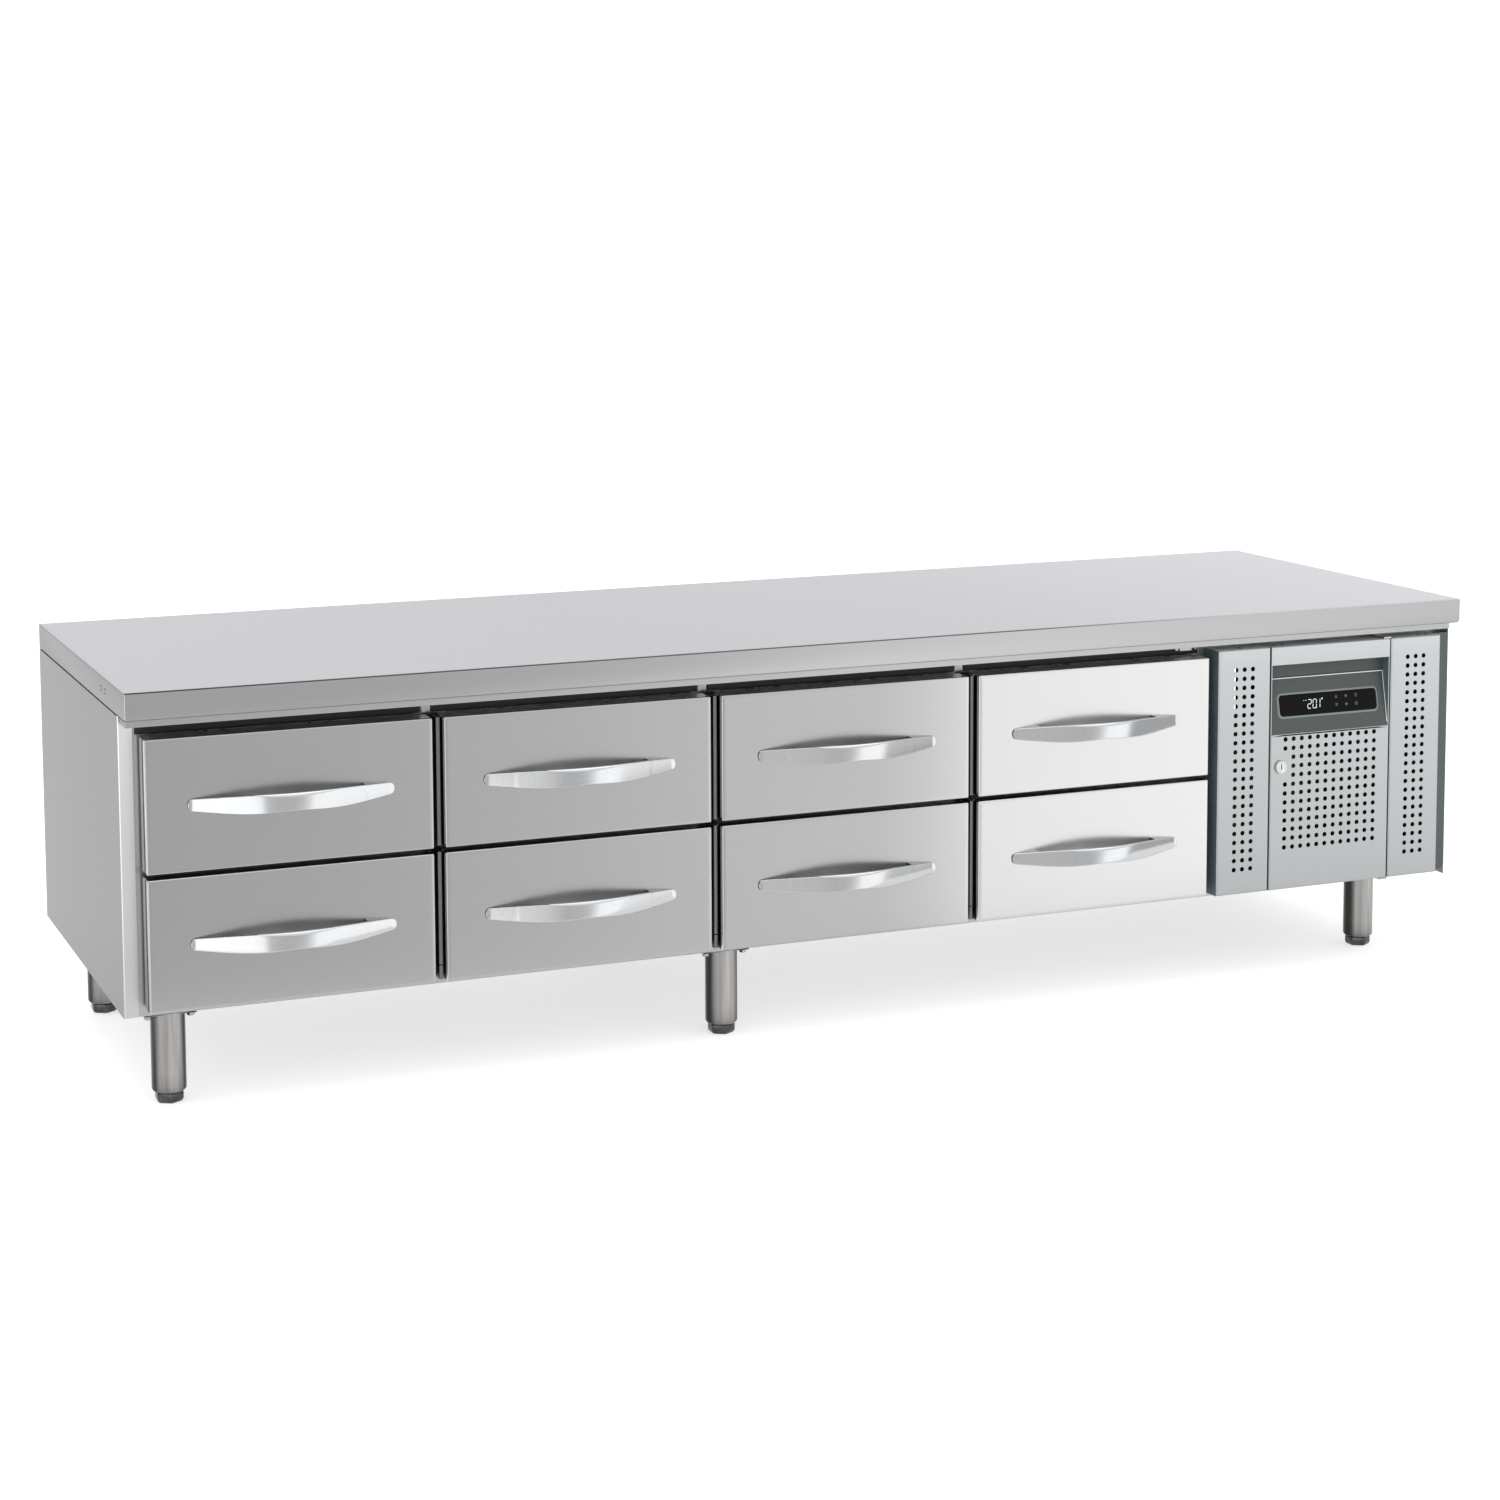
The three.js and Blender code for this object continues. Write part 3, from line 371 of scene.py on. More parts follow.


# %% [markdown]
# ## Painted light along a sheet
# A long sheet never mirrors one even wall. Its tone drifts from end to end, and what stands in
# front of it darkens one part. One round wall of light can't do that for every sheet, so some
# metals carry the drift in their own colour, by the place on the object: painted reflection and
# painted shade.


# %% Painted drifts and patches
def toned(material, factor):
    """Whatever feeds the material's colour, times a factor."""
    tree, colour = material.node_tree, socket(material, "Base Color")
    mixed = added(tree, "ShaderNodeMix", {
        "Factor": 1, "A": colour.links[0].from_socket, "B": factor,
    }, data_type="RGBA", blend_type="MULTIPLY")
    tree.links.new(mixed["Result"], colour)


def faded(material, stops, axis="X"):
    """The colour times a factor that changes along an axis, from places in millimetres."""
    tree = material.node_tree
    first, last = stops[0][0], stops[-1][0]
    share = ranged(tree, parted(tree, own_place(tree))[axis], 0, 1, first * METRE, last * METRE)
    toned(material, ramped(
        tree, share, [((at - first) / (last - first), factor) for at, factor in stops]))


def inside_box(material, low, high, colour):
    """The colour times another within a box. Each axis is scaled so that the box reaches from
    -1 to 1, and the largest of the three, without its sign, is below 1 within the box."""
    tree = material.node_tree
    low, high = np.array(low) * METRE, np.array(high) * METRE
    scaled = added(tree, "ShaderNodeMapping", {
        "Vector": own_place(tree), "Scale": 2 / (high - low),
        "Location": -(low + high) / (high - low)})["Vector"]
    size = added(tree, "ShaderNodeVectorMath", {0: scaled}, operation="ABSOLUTE")["Vector"]
    x, y, z = parted(tree, size)
    largest = reckoned(tree, "MAXIMUM", reckoned(tree, "MAXIMUM", x, y), z)
    toned(material, ramped(tree, largest, [(0, colour), (1, 1)], "CONSTANT"))


# %% [markdown]
# ## The metals
# All sheet is the same satin stainless steel. Its materials for the flat top, its edge, the
# fronts, the ends, the stile and the folds are lighter or darker copies of it: painted light and
# shade. The handles are polished aluminium.

# %% Stainless sheet
ALONG_X, ALONG_Y, ALONG_Z = (4, 1400, 1400), (1400, 4, 1400), (900, 900, 4)
DARKEST_GRAIN = 0.985


def sheet_metal(name, level, rough, grain, tint=PLAIN, spread=0.3, around="X"):
    """Brushed sheet: its grey hardly changes along the grain, and its relief is very fine."""
    levels = (level * DARKEST_GRAIN, level)
    return metal(name, levels, rough, grain, tint, FINE, spread, around)


# Painted light and shade: lighter and darker copies of one steel. The stile's steel and the front
# steel of column 4 are lit copies; the fin steel and the bend steel are shaded ones.
top_steel = sheet_metal("top_steel", 0.485, (0.25, 0.28), ALONG_X, (0.972, 0.98, 1.05))
edge_steel = sheet_metal("edge_steel", 0.37, (0.25, 0.28), ALONG_X)
painted_shade_bend_steel = sheet_metal("painted_shade_bend_steel", 0.4, (0.3, 0.36), ALONG_X)
front_steel = sheet_metal("front_steel", 0.44, (0.20, 0.23), ALONG_X, spread=0.4)
painted_light_front_steel = sheet_metal("painted_light_front_steel", 0.485, (0.20, 0.23), ALONG_X, spread=0.4)
side_steel = sheet_metal("side_steel", 0.35, (0.28, 0.33), ALONG_Y, around="Y")
painted_light_steel = sheet_metal("painted_light_steel", 0.74, (0.28, 0.33), ALONG_Z, spread=0)
cover_steel = sheet_metal(
    "cover_steel", 0.43, (0.3, 0.34), ALONG_Z, (0.965, 0.995, 1.01), spread=0)
painted_shade_fin_steel = sheet_metal("painted_shade_fin_steel", 0.16, (0.28, 0.33), ALONG_Z, spread=0)
# Painted reflection and shade along the sheets: the top lighter at the right end, the edge darker
# towards the right, the bend nearly black at the left, the fronts lighter towards column 4, the
# stile and the cover darker towards the bottom.
faded(top_steel, [(-1115, 0.79), (-300, 0.73), (300, 0.76), (1115, 0.96)])
faded(edge_steel, [(-1115, 0.97), (0, 1.0), (600, 0.86), (1115, 0.8)])
faded(painted_shade_bend_steel, [(-1115, 0.1), (300, 0.25), (700, 0.9), (1115, 1.0)])
faded(front_steel, [(-1115, 0.83), (-300, 0.845), (40, 0.8), (120, 0.86), (215, 1.0)])
faded(painted_light_steel, [(134, 0.66), (260, 0.8), (570, 1.0)], "Z")
faded(cover_steel, [(144, 0.78), (400, 0.86), (520, 0.93), (549, 1.0)], "Z")
print("sheet metals made:", len(bpy.data.materials))

# %% Other metals
# Lit and shaded copies of the sheet steel for the drawers' sides and the strip behind the grille:
# painted highlight and painted shade.
painted_highlight_steel = metal("painted_highlight_steel", (0.92, 0.96), (0.28, 0.36), 60)
painted_shade_steel = metal("painted_shade_steel", (0.015, 0.02), (0.35, 0.45), 60)
frame_steel = metal("frame_steel", (0.34, 0.40), (0.25, 0.36), (80, 80, 3), relief=COARSE)
# Painted shade: the frame steel turns near black inside the machine bay.
inside_box(frame_steel, (664, -260, 136), (1112.5, 359, 568), grey(0.02, GREEN))
shade_steel = metal("shade_steel", (0.09, 0.11), (0.35, 0.45), (60, 60, 8), GREEN)
# Painted shade: lower specular tints darken the side steel and the shade steel further.
socket(side_steel, "Specular Tint").default_value = (0.62, 0.62, 0.62, 1)
socket(shade_steel, "Specular Tint").default_value = (0.3, 0.33, 0.33, 1)
aluminium = metal("handle_aluminium", (0.46, 0.50), (0.09, 0.13), (6, 700, 700), COOL)
# Copies of the handle aluminium: a dark one for painted shade, a pale one for painted light.
painted_shade_aluminium = metal("painted_shade_aluminium", (0.07, 0.10), (0.16, 0.22), 60, COOL)
painted_light_aluminium = metal("painted_light_aluminium", (0.93, 0.97), (0.3, 0.4), 60)
leg_steel = metal("leg_steel", (0.275, 0.41), (0.10, 0.18), (160, 160, 7), WARM)
foot_steel = metal("foot_steel", (0.05, 0.1), (0.16, 0.26), 140, WARM, COARSE)
runner_steel = metal("runner_steel", (0.36, 0.46), (0.35, 0.5), 30, COOL, COARSE)
# Painted shade: the cooling unit's metal is kept near black so the bay behind the holes reads dark.
machine_metal = metal("machine_metal", (0.05, 0.09), (0.4, 0.55), 60, relief=COARSE)
lock_metal = metal("lock_metal", (0.42, 0.5), (0.16, 0.22), 200, WARM)
print("metals made:", len(bpy.data.materials))

# %% [markdown]
# ## Rubber, plastic, enamel and glass
# The gaskets are soft rubber, the bezel is grained grey plastic, and the compressor is enamelled.
# The returns of the covers mirror only what lies in shade, which a dull coat does best. The glass
# is black with a soft surface, because a sharp one would mirror the whole studio.

# %% Materials that aren't metal
PALE_TINT, SHADE_TINT = (0.90, 1.0, 1.0), (0.72, 1.0, 1.08)
rubber = dull("gasket_rubber", (0.012, 0.02), (0.5, 0.65), 120)
black_trim_and_shade = dull("black_trim_and_shade", (0.002, 0.004), (0.5, 0.6), 200)
grey_plastic = dull("grey_plastic", (0.045, 0.052), (0.5, 0.6), 900, GREEN, 0.00004)
# Painted light: a pale dull coat for the returns on top, the sheet on top of the cover and the bars
# along the bezel face's edges.
painted_light_coat = dull("painted_light_coat", (0.66, 0.74), (0.4, 0.5), 60, PALE_TINT)
shade_coat = dull("shade_coat", (0.085, 0.1), (0.4, 0.5), 60, SHADE_TINT)
rim_plastic = dull("rim_plastic", (0.16, 0.18), (0.4, 0.5), 900, GREEN, 0.00003)
enamel = dull("black_enamel", (0.012, 0.02), (0.28, 0.4), 60)
fan_plastic = dull("fan_plastic", (0.015, 0.025), (0.4, 0.5), 150)
lit_ink = dull("lit_ink", (0.55, 0.6), (0.4, 0.5), 300)
socket(lit_ink, "Emission Color").default_value = (0.86, 0.95, 1.0, 1)
socket(lit_ink, "Emission Strength").default_value = 0.45
grey_ink = dull("grey_ink", (0.12, 0.15), (0.4, 0.5), 300, GREEN)
glass = started("dark_glass", grey(0.003), 0.0, 0.2)
socket(glass, "Specular IOR Level").default_value = 0.06
glass.node_tree.links.new(
    ranged(glass.node_tree, noise(glass.node_tree, (40, 40, 40)), 0.18, 0.24),
    socket(glass, "Roughness"))
print("materials made:", len(bpy.data.materials))

# %% [markdown]
# ## Worktop
# One sheet folded down on four sides over a stiff core. The top edge is a tight bend, the corners
# are welded and ground, and a shallow rail carries the front edge a little way back. Rounded
# rectangles, one below the other, give the bend and the groove under the fold in one skin.

# %% Worktop skin, under-rail and end rivets
TOP_INSET, TOP_FOLD = 0.4, 40.0
RIVET_HEIGHT, RIVET_BACKS = 591.0, (140.0, 170.0)
top_middle = (top_low + top_high) / 2
top_size = (top_high - top_low)[:2] - 2 * TOP_INSET
top_profile = softened(1.8, 0, 4, 6.0) + [
    (0, 37.6), (0.3, 38.1), (2.4, 38.3), (2.4, 39.5), (0.5, 39.7), (0.5, TOP_FOLD - 0.1),
    (1.0, TOP_FOLD)]
skin_top = stack((*top_middle[:2], top_high[2]), top_size, 2.5, top_profile, X, Y, -Z, steps=5)
under_rail = slab(
    top_low + (2.3, 6.3, 0), (top_high[0] - 17.3, cabinet_front - 0.4, top_low[2] + 10.6), 1.0)
rivets = [
    turned([(radius, 0), (radius, high - 0.1), (radius - 0.5, high), (0.3, high)],
           (top_low[0] + TOP_INSET, top_low[1] + back, RIVET_HEIGHT), Y, Z, -X, 24, material)
    for back in RIVET_BACKS for radius, high, material in ((4.4, 0.25, 1), (2.0, 0.4, 5))]
worktop = make(
    "worktop_skin", [skin_top, under_rail, *rivets],
    [edge_steel, black_trim_and_shade, top_steel, side_steel, painted_shade_bend_steel, lock_metal],
    "cabinet", ["worktop"])
# Painted light and shade: the faces of the front bend get a darker steel, nearly black at the left,
# and the top and the two ends get their own lighter or darker copies of the steel.
reface(worktop, (0, -0.707, 0.707), 4, 0.8)
reface(worktop, Z, 2, 0.9)
reface(worktop, -X, 3)
reface(worktop, X, 3)
print("worktop in millimetres:", np.round(top_size, 1).tolist(), "fold", TOP_FOLD)

# %% [markdown]
# ## End panels
# The left end of the cabinet is a single sheet folded round the front corner into a narrow stile
# beside the drawers. At the right end a plain sheet stops short of the machine cover, and a
# flange with a cut lower corner closes the cover's side.

# %% Left end panel
END_OUTER, STILE_INNER, END_BACK = -1114.1, -1093.5, 360.0
cabinet_top = body_high[2]
end_path = bent([(END_OUTER, END_BACK), (END_OUTER, cabinet_front - 1.0),
                 (STILE_INNER, cabinet_front - 1.0)], 2.5, 5)
end_sheet = carried(ribbon(end_path, -0.75), body_low[2] + 0.1, cabinet_top - 0.1, 2)
end_left = make(
    "end_panel_left", [end_sheet], [side_steel, painted_light_steel], "cabinet")
# Painted light: the front of the stile gets a much lighter copy of the steel than the side.
reface(end_left, -Y, 1, 0.9)

# %% Right end panel and the flange beside the machine cover
grille_end_low, grille_end_high = place("grille_right")
flange_left, flange_right = grille_end_high[0] + 1.3, body_high[0] + 0.3
flange_low, flange_high = grille_end_low[2] - 0.3, grille_end_high[2] + 0.3
flange_loop = np.array([
    (flange_left, flange_low), (flange_right - 8, flange_low), (flange_right, flange_low + 8),
    (flange_right, flange_high), (flange_left, flange_high)])
flange = carried(flange_loop, face_y + 25.9, body_low[1] + 18.3, 1)
end_right = slab(
    (body_high[0] + 0.05, body_low[1] + 19, body_low[2] + 0.2),
    (body_high[0] + 0.75, body_high[1], cabinet_top - 0.2), 0.3, axis=0, material=1)
make("end_panel_right", [end_right, flange], [shade_steel, side_steel], "cabinet")
print("end panels made: 2, height", round(cabinet_top - body_low[2], 1))

# %% [markdown]
# ## Back
# The back is a plain sheet with its edges hemmed, held by screws, and pressed into louvre hoods
# where the machine breathes out. The hoods face down, so that spilt water can't run in.

# %% Back panel
SCREW_PROFILE = [
    (0.3, 0), (4.2, 0), (4.2, 0.5), (3.4, 1.4), (1.6, 1.8), (1.5, 1.2), (0.3, 1.2)]
HOOD_PROFILE = [(0.0, 0.4), (0.0, 0.7), (0.9, 1.7), (2.2, 2.3), (3.8, 2.6), (4.6, 2.6)]
HOOD_TOP, HOOD_PITCH, BAY_LEFT = 505, 22, 806.0
back_y = body_high[1]
back_sheet = stack(
    (0, back_y, (body_low[2] + body_high[2]) / 2),
    (2 * body_high[0] - 3, body_high[2] - body_low[2] - 3), 3,
    [(6, 0.05), (0, 0.05), (0, 0.9), (0.5, 1.1), (11, 1.1), (11.6, 0.6), (14, 0.6)])
bay_middle = (BAY_LEFT + body_high[0] - 3) / 2
hoods = [
    stack((bay_middle + side * 66, back_y, HOOD_TOP - HOOD_PITCH * row), (118, 10), 4.8,
          HOOD_PROFILE)
    for side in (-1, 1) for row in range(8)]
screws = [
    turned(SCREW_PROFILE, (x, back_y + 0.6, z), X, Z, Y, 16, 1)
    for x in np.linspace(-1095, 1095, 9) for z in (body_low[2] + 9, body_high[2] - 9)]
make("back_panel", [back_sheet, *hoods, *screws], [side_steel, lock_metal], "cabinet")
print("louvre hoods and screws:", len(hoods), len(screws))

# %% [markdown]
# ## Drawer fronts
# Each front is a shallow steel tray filled with foam, about 38 mm deep. A fold line runs round its
# side where the tray meets the back liner, and the liner has a groove that holds the gasket.


# %% Drawer fronts
def drawer_front(low, high):
    """Rounded rectangles from the face back over the fold line, the liner and its groove."""
    middle = ((low[0] + high[0]) / 2, low[1], (low[2] + high[2]) / 2)
    width, depth, height = high - low
    profile = softened(2.4, 0, 5) + [
        (0, 7.0), (0, 17.6), (0.4, 18.0), (0.4, 18.6), (0, 19.0), (0, depth - 4.6),
        (0.5, depth - 3.4), (1.4, depth - 3), (3, depth - 3), (3, depth - 0.8), (3.8, depth),
        (7.6, depth), (7.6, depth - 4), (12.4, depth - 4), (12.4, depth), (18, depth)]
    return stack(middle, (width, height), 2.4, profile, steps=3)


def paint_side_light(piece, upper):
    """Painted highlight and shade on the tray: lit copies of the steel on its sides' front fold and
    liner, a dark copy between them, and on top faces a lit copy above, a dark one below.
    """
    for face in piece.data.polygons:
        depth = face.center.y / METRE - face_y
        out, up = abs(face.normal.x), face.normal.z
        if 0.8 < out and 0.2 < depth:
            face.material_index = 2 if 7 < depth < 18 else 1
        elif up > 0.9:
            face.material_index = 1 if upper else 2


drawers = [f"drawer_{column}_{level}" for column in (1, 2, 3, 4) for level in ("upper", "lower")]
for drawer in drawers:
    # Painted light: column 4 gets a lighter copy of the front steel, and the folds get lit copies.
    steel = painted_light_front_steel if "_4_" in drawer else front_steel
    fold = painted_light_steel if "_1_" in drawer else painted_highlight_steel
    panel = make(
        f"{drawer}_panel", [drawer_front(*place(f"{drawer}_front"))], [steel, fold, painted_shade_steel],
        drawer, [f"{drawer}_front"])
    paint_side_light(panel, "upper" in drawer)
print("drawer fronts made:", len(drawers))

# %% [markdown]
# ## Bow handles
# A handle is cast aluminium. Seen from above two straight wings rise from the pads and meet in a
# round bend, and seen from the front it is a boat, deepest in the middle. The wings mirror one
# spot each, which is why a handle shows three tones. The upper edge is ground round in the middle,
# where the fingers go behind it. The piece is a row of rounded sections.

# %% The line of a handle
HALF, REACH, STRIP, PAD = 150.0, 39.8, 5.0, 45.0
BEND, WING = 52.0, math.radians(17.6)
THIN_END, TIP = 2.2, 7.0
BROW = 62.0
EDGE_PLACES = np.array([0, 0.22, 0.47, 0.72, 0.93, 1.0])
EDGE_TOPS = np.array([12.2, 12.1, 10.9, 9.4, 8.2, 7.8])
EDGE_BOTTOMS = np.array([-12.4, -14.8, -16.4, -13.6, -10.2, -9.2])


def bow(x):
    """Straight wings at the wing angle, joined by an arc that turns from one slope to the other."""
    radius = BEND / math.sin(WING)
    arc = REACH - radius + np.sqrt(np.maximum(radius**2 - x**2, 0))
    wing = REACH - radius * (1 - math.cos(WING)) - (np.abs(x) - BEND) * math.tan(WING)
    return np.where(np.abs(x) < BEND, arc, wing)


def smoothed_edge(share, edge):
    """The edge's height between its given places, each value averaged with four neighbours."""
    heights = np.pad(np.interp(share, EDGE_PLACES, edge), 2, mode="edge")
    return np.convolve(heights, np.ones(5) / 5, "valid")


# %% Handles
def handle(middle_x, middle_z, pad_y):
    """Rounded sections along x, from the bow's front to its back or to the pad's foot. The ends
    close in a half circle, and in the middle the upper front edge is rounded more."""
    half, foot = HALF - 0.3, HALF - PAD
    tip = half * np.sin(np.linspace(-np.pi / 2, np.pi / 2, 61))
    x = np.sort(np.concatenate([tip, [-foot - 0.2, -foot + 0.8, foot - 0.8, foot + 0.2]]))
    front = np.maximum(bow(x), THIN_END)
    inner = np.where(np.abs(x) < foot, front - STRIP - 1.0, 0.0)
    past = ((np.abs(x) - (half - TIP)) / (TIP + 0.001)).clip(0)
    narrower = TIP * (1 - np.sqrt(np.clip(1 - past**2, 0.0, 1)))
    upper = smoothed_edge(np.abs(x) / HALF, EDGE_TOPS) - narrower
    lower = smoothed_edge(np.abs(x) / HALF, EDGE_BOTTOMS) + narrower
    thick, tall = front - inner, upper - lower
    radius = np.minimum(1.4, 0.45 * thick)
    brow = np.clip(1 - (x / BROW) ** 2, 0, None)[:, None] * (np.arange(20) < 5)
    wide, high = radius[:, None] + 2.8 * brow, radius[:, None] + 6.5 * brow
    angle, corner = corner_angles(4).ravel(), np.repeat(CORNERS, 5, axis=0)
    out = (front + inner)[:, None] / 2 + corner[:, 0] * (thick[:, None] / 2 - wide)
    up = (upper + lower)[:, None] / 2 + corner[:, 1] * (tall[:, None] / 2 - high)
    out, up = out + wide * np.cos(angle), up + high * np.sin(angle)
    across = np.broadcast_to((middle_x + x)[:, None], out.shape)
    return skin(np.stack([across, pad_y - out, middle_z + up], axis=-1))


for drawer in drawers:
    low, high = place(f"{drawer}_front")
    middle = (low + high) / 2
    bow_piece = make(
        f"{drawer}_bow", [handle(middle[0], middle[2], face_y - 0.3)],
        [aluminium, painted_shade_aluminium, painted_light_aluminium], drawer, [f"{drawer}_handle"], 50)
    # Painted shade on the faces looking left and, outside column 4, on the top of the left end;
    # painted light on the faces looking back at the drawer.
    reface(bow_piece, -X, 1, 0.6)
    reface(bow_piece, Y, 2, 0.8)
    for face in bow_piece.data.polygons:
        beside = middle[0] - face.center.x / METRE
        if face.normal.z > 0.8 and BROW < beside and "_4_" not in drawer:
            face.material_index = 1
print("handles made:", len(drawers))

# %% [markdown]
# ## Legs and feet
# A leg is a steel tube with a rounded lower rim, held by a pressed flange under the cabinet. The
# foot is a hexagon with soft corners that screws up into it.


# %% Shapes of a leg and a foot
def leg(low, high):
    """Radius and height pairs from the bore's mouth round the rim up to the flange."""
    x, y = (low[0] + high[0]) / 2, (low[1] + high[1]) / 2
    floor, top = low[2], high[2]
    rim = np.linspace(0, np.pi / 2, 7)
    around_rim = [(19 + 6 * math.sin(a), floor + 6 - 6 * math.cos(a)) for a in rim]
    profile = [(0.5, floor + 6), (14, floor + 6), (14, floor + 0.2), (15, floor), *around_rim]
    profile += [(25, floor + 12), (25, top), (0.5, top)]
    flange = slab((x - 37.6, y - 23.6, top - 2.2), (x + 37.6, y + 37.6, top), 2, axis=2)
    head = [(0.3, -6), (4.8, -6), (5.8, -5), (5.8, 0), (0.3, 0)]
    heads = [turned(head, (x + dx, y + dy, top - 2), steps=6, material=1)
             for dx in (-31, 31) for dy in (-13, 24)]
    return [turned(profile, (x, y, 0)), flange, *heads]


FOOT_RINGS = [(0.02, 0), (0.80, 0), (0.87, 0.5), (0.95, 2.2), (1, 5), (1, 13.4), (0.97, 14.6),
              (0.9, 15), (0.02, 15)]


def foot(low, high):
    """Hexagons from the sole up to the collar, cut by a circle at their corners, and the screw
    above. A side lies at its distance over the cosine of the angle from its middle."""
    x, y = (low[0] + high[0]) / 2, (low[1] + high[1]) / 2
    angle = np.linspace(0, 2 * np.pi, 72, endpoint=False)
    sector = (angle + np.pi / 6) % (np.pi / 3) - np.pi / 6
    outline = np.minimum(19 / np.cos(sector), 20.9)[:, None]
    circle = np.cos(angle)[:, None] * X + np.sin(angle)[:, None] * Y
    rings = [(x, y, z) + circle * outline * share for share, z in FOOT_RINGS]
    screw = [(0.3, 14), (9, 14), (9, high[2] - 1), (8, high[2]), (0.3, high[2])]
    return [skin(rings), turned(screw, (x, y, 0), steps=32)]


# %% [markdown]
# ### Streaks on the tubes
# A polished tube squeezes the whole room into upright streaks. Here they are painted reflection:
# light and dark streaks in the tube's colour follow the bearing round the tube's own axis, which
# every point of the mesh stores as an attribute.


# %% Painted reflection streaks by the bearing round a tube
def mark_outward(piece, centre):
    """Store on every point the level direction from the axis to it."""
    places = np.empty(3 * len(piece.data.vertices))
    piece.data.vertices.foreach_get("co", places)
    outward = places.reshape(-1, 3) - np.array(centre) * METRE
    outward[:, 2] = 0
    marks = piece.data.attributes.new("outward", "FLOAT_VECTOR", "POINT")
    marks.data.foreach_set("vector", outward.ravel())


def reflection_streaked(material, stops):
    """The colour times a factor by the bearing of the stored direction, in degrees."""
    tree = material.node_tree
    stored = added(tree, "ShaderNodeAttribute", {}, attribute_name="outward")["Vector"]
    x, y, _ = parted(tree, stored)
    toned(material, ramped(
        tree, turn_share(tree, x, y), [(at / 360, factor) for at, factor in stops]))


# A turn starts at the front and passes the left side, the back and the right side.
TUBE_REFLECTION_TONES = [
    (0, 0.95), (14, 0.85), (24, 0.72), (34, 0.72), (42, 0.75), (50, 0.5), (58, 0.22), (66, 0.12),
    (96, 0.1), (108, 0.5), (150, 0.9), (185, 0.35), (230, 0.8), (285, 0.4), (298, 0.12),
    (312, 0.14), (322, 0.62), (336, 0.9), (360, 0.95)]
# Painted reflection streaks round the tube, and painted shade that darkens it towards its foot.
reflection_streaked(leg_steel, TUBE_REFLECTION_TONES)
faded(leg_steel, [(15, 0.6), (26, 0.85), (45, 1.0), (152, 1.0)], "Z")

# %% Legs and feet
for row in ("front", "rear"):
    for side in ("left", "middle", "right"):
        low, high = place(f"leg_{row}_{side}")
        tube = make(f"leg_tube_{row}_{side}", leg(low, high), [leg_steel, front_steel],
                    "cabinet", [f"leg_{row}_{side}"])
        mark_outward(tube, (low + high) / 2)
        make(f"hex_foot_{row}_{side}", foot(*place(f"foot_{row}_{side}")), [foot_steel],
             f"foot_{row}_{side}", [f"foot_{row}_{side}"])
print("legs and feet made: 6 and 6")

# %% [markdown]
# ## Perforated cover
# The machine needs air, so its cover is full of punched holes. Each hole is one tile: sixteen
# points on a circle joined to sixteen on the tile's border. The tiles weld into one sheet, and a
# margin with the same points round it folds back into the returns.


# %% Tiles
def border(columns, rows, pitch, low):
    """Points round a grid of tiles, four to a tile's side, counter-clockwise."""
    wide, high = columns * pitch[0], rows * pitch[1]
    u = np.linspace(0, wide, 4 * columns + 1)[:-1]
    v = np.linspace(0, high, 4 * rows + 1)[:-1]
    sides = [np.column_stack([u, 0 * u]), np.column_stack([wide + 0 * v, v]),
             np.column_stack([wide - u, high + 0 * u]), np.column_stack([0 * v, high - v])]
    return np.vstack(sides) + low


def tiles(columns, rows, pitch, low, radius, y, thickness, closed=()):
    """Front, back and wall of every hole, tile by tile. Closed tiles stay plain sheet."""
    step = np.arange(16) * np.pi / 8 - 3 * np.pi / 4
    circle = np.column_stack([np.cos(step), np.sin(step)]) * radius + np.array(pitch) / 2
    square = border(1, 1, pitch, (0, 0))
    ring = np.arange(16)
    ribs = np.stack([ring, np.roll(ring, -1), np.roll(ring, -1) + 16, ring + 16], axis=-1)
    points, faces, count = [], [], 0
    for i, j in np.ndindex(columns, rows):
        corner = np.array(low) + (i * pitch[0], j * pitch[1])
        edge, hole = square + corner, circle + corner
        if (i, j) in closed:
            loops = [(edge, y), (edge, y + thickness)]
            faces += [(ring[::-1] + count).tolist(), (ring + 16 + count).tolist()]
        else:
            loops = [(edge, y), (hole, y), (hole, y + thickness), (edge, y + thickness)]
            for k in range(3):
                faces += (ribs + 16 * k + count).tolist()
        points += [np.column_stack([loop[:, 0], np.full(16, at), loop[:, 1]]) for loop, at in loops]
        count += 16 * len(loops)
    return np.vstack(points), faces


# %% A panel from tiles and a folded margin
SHEET = 1.2


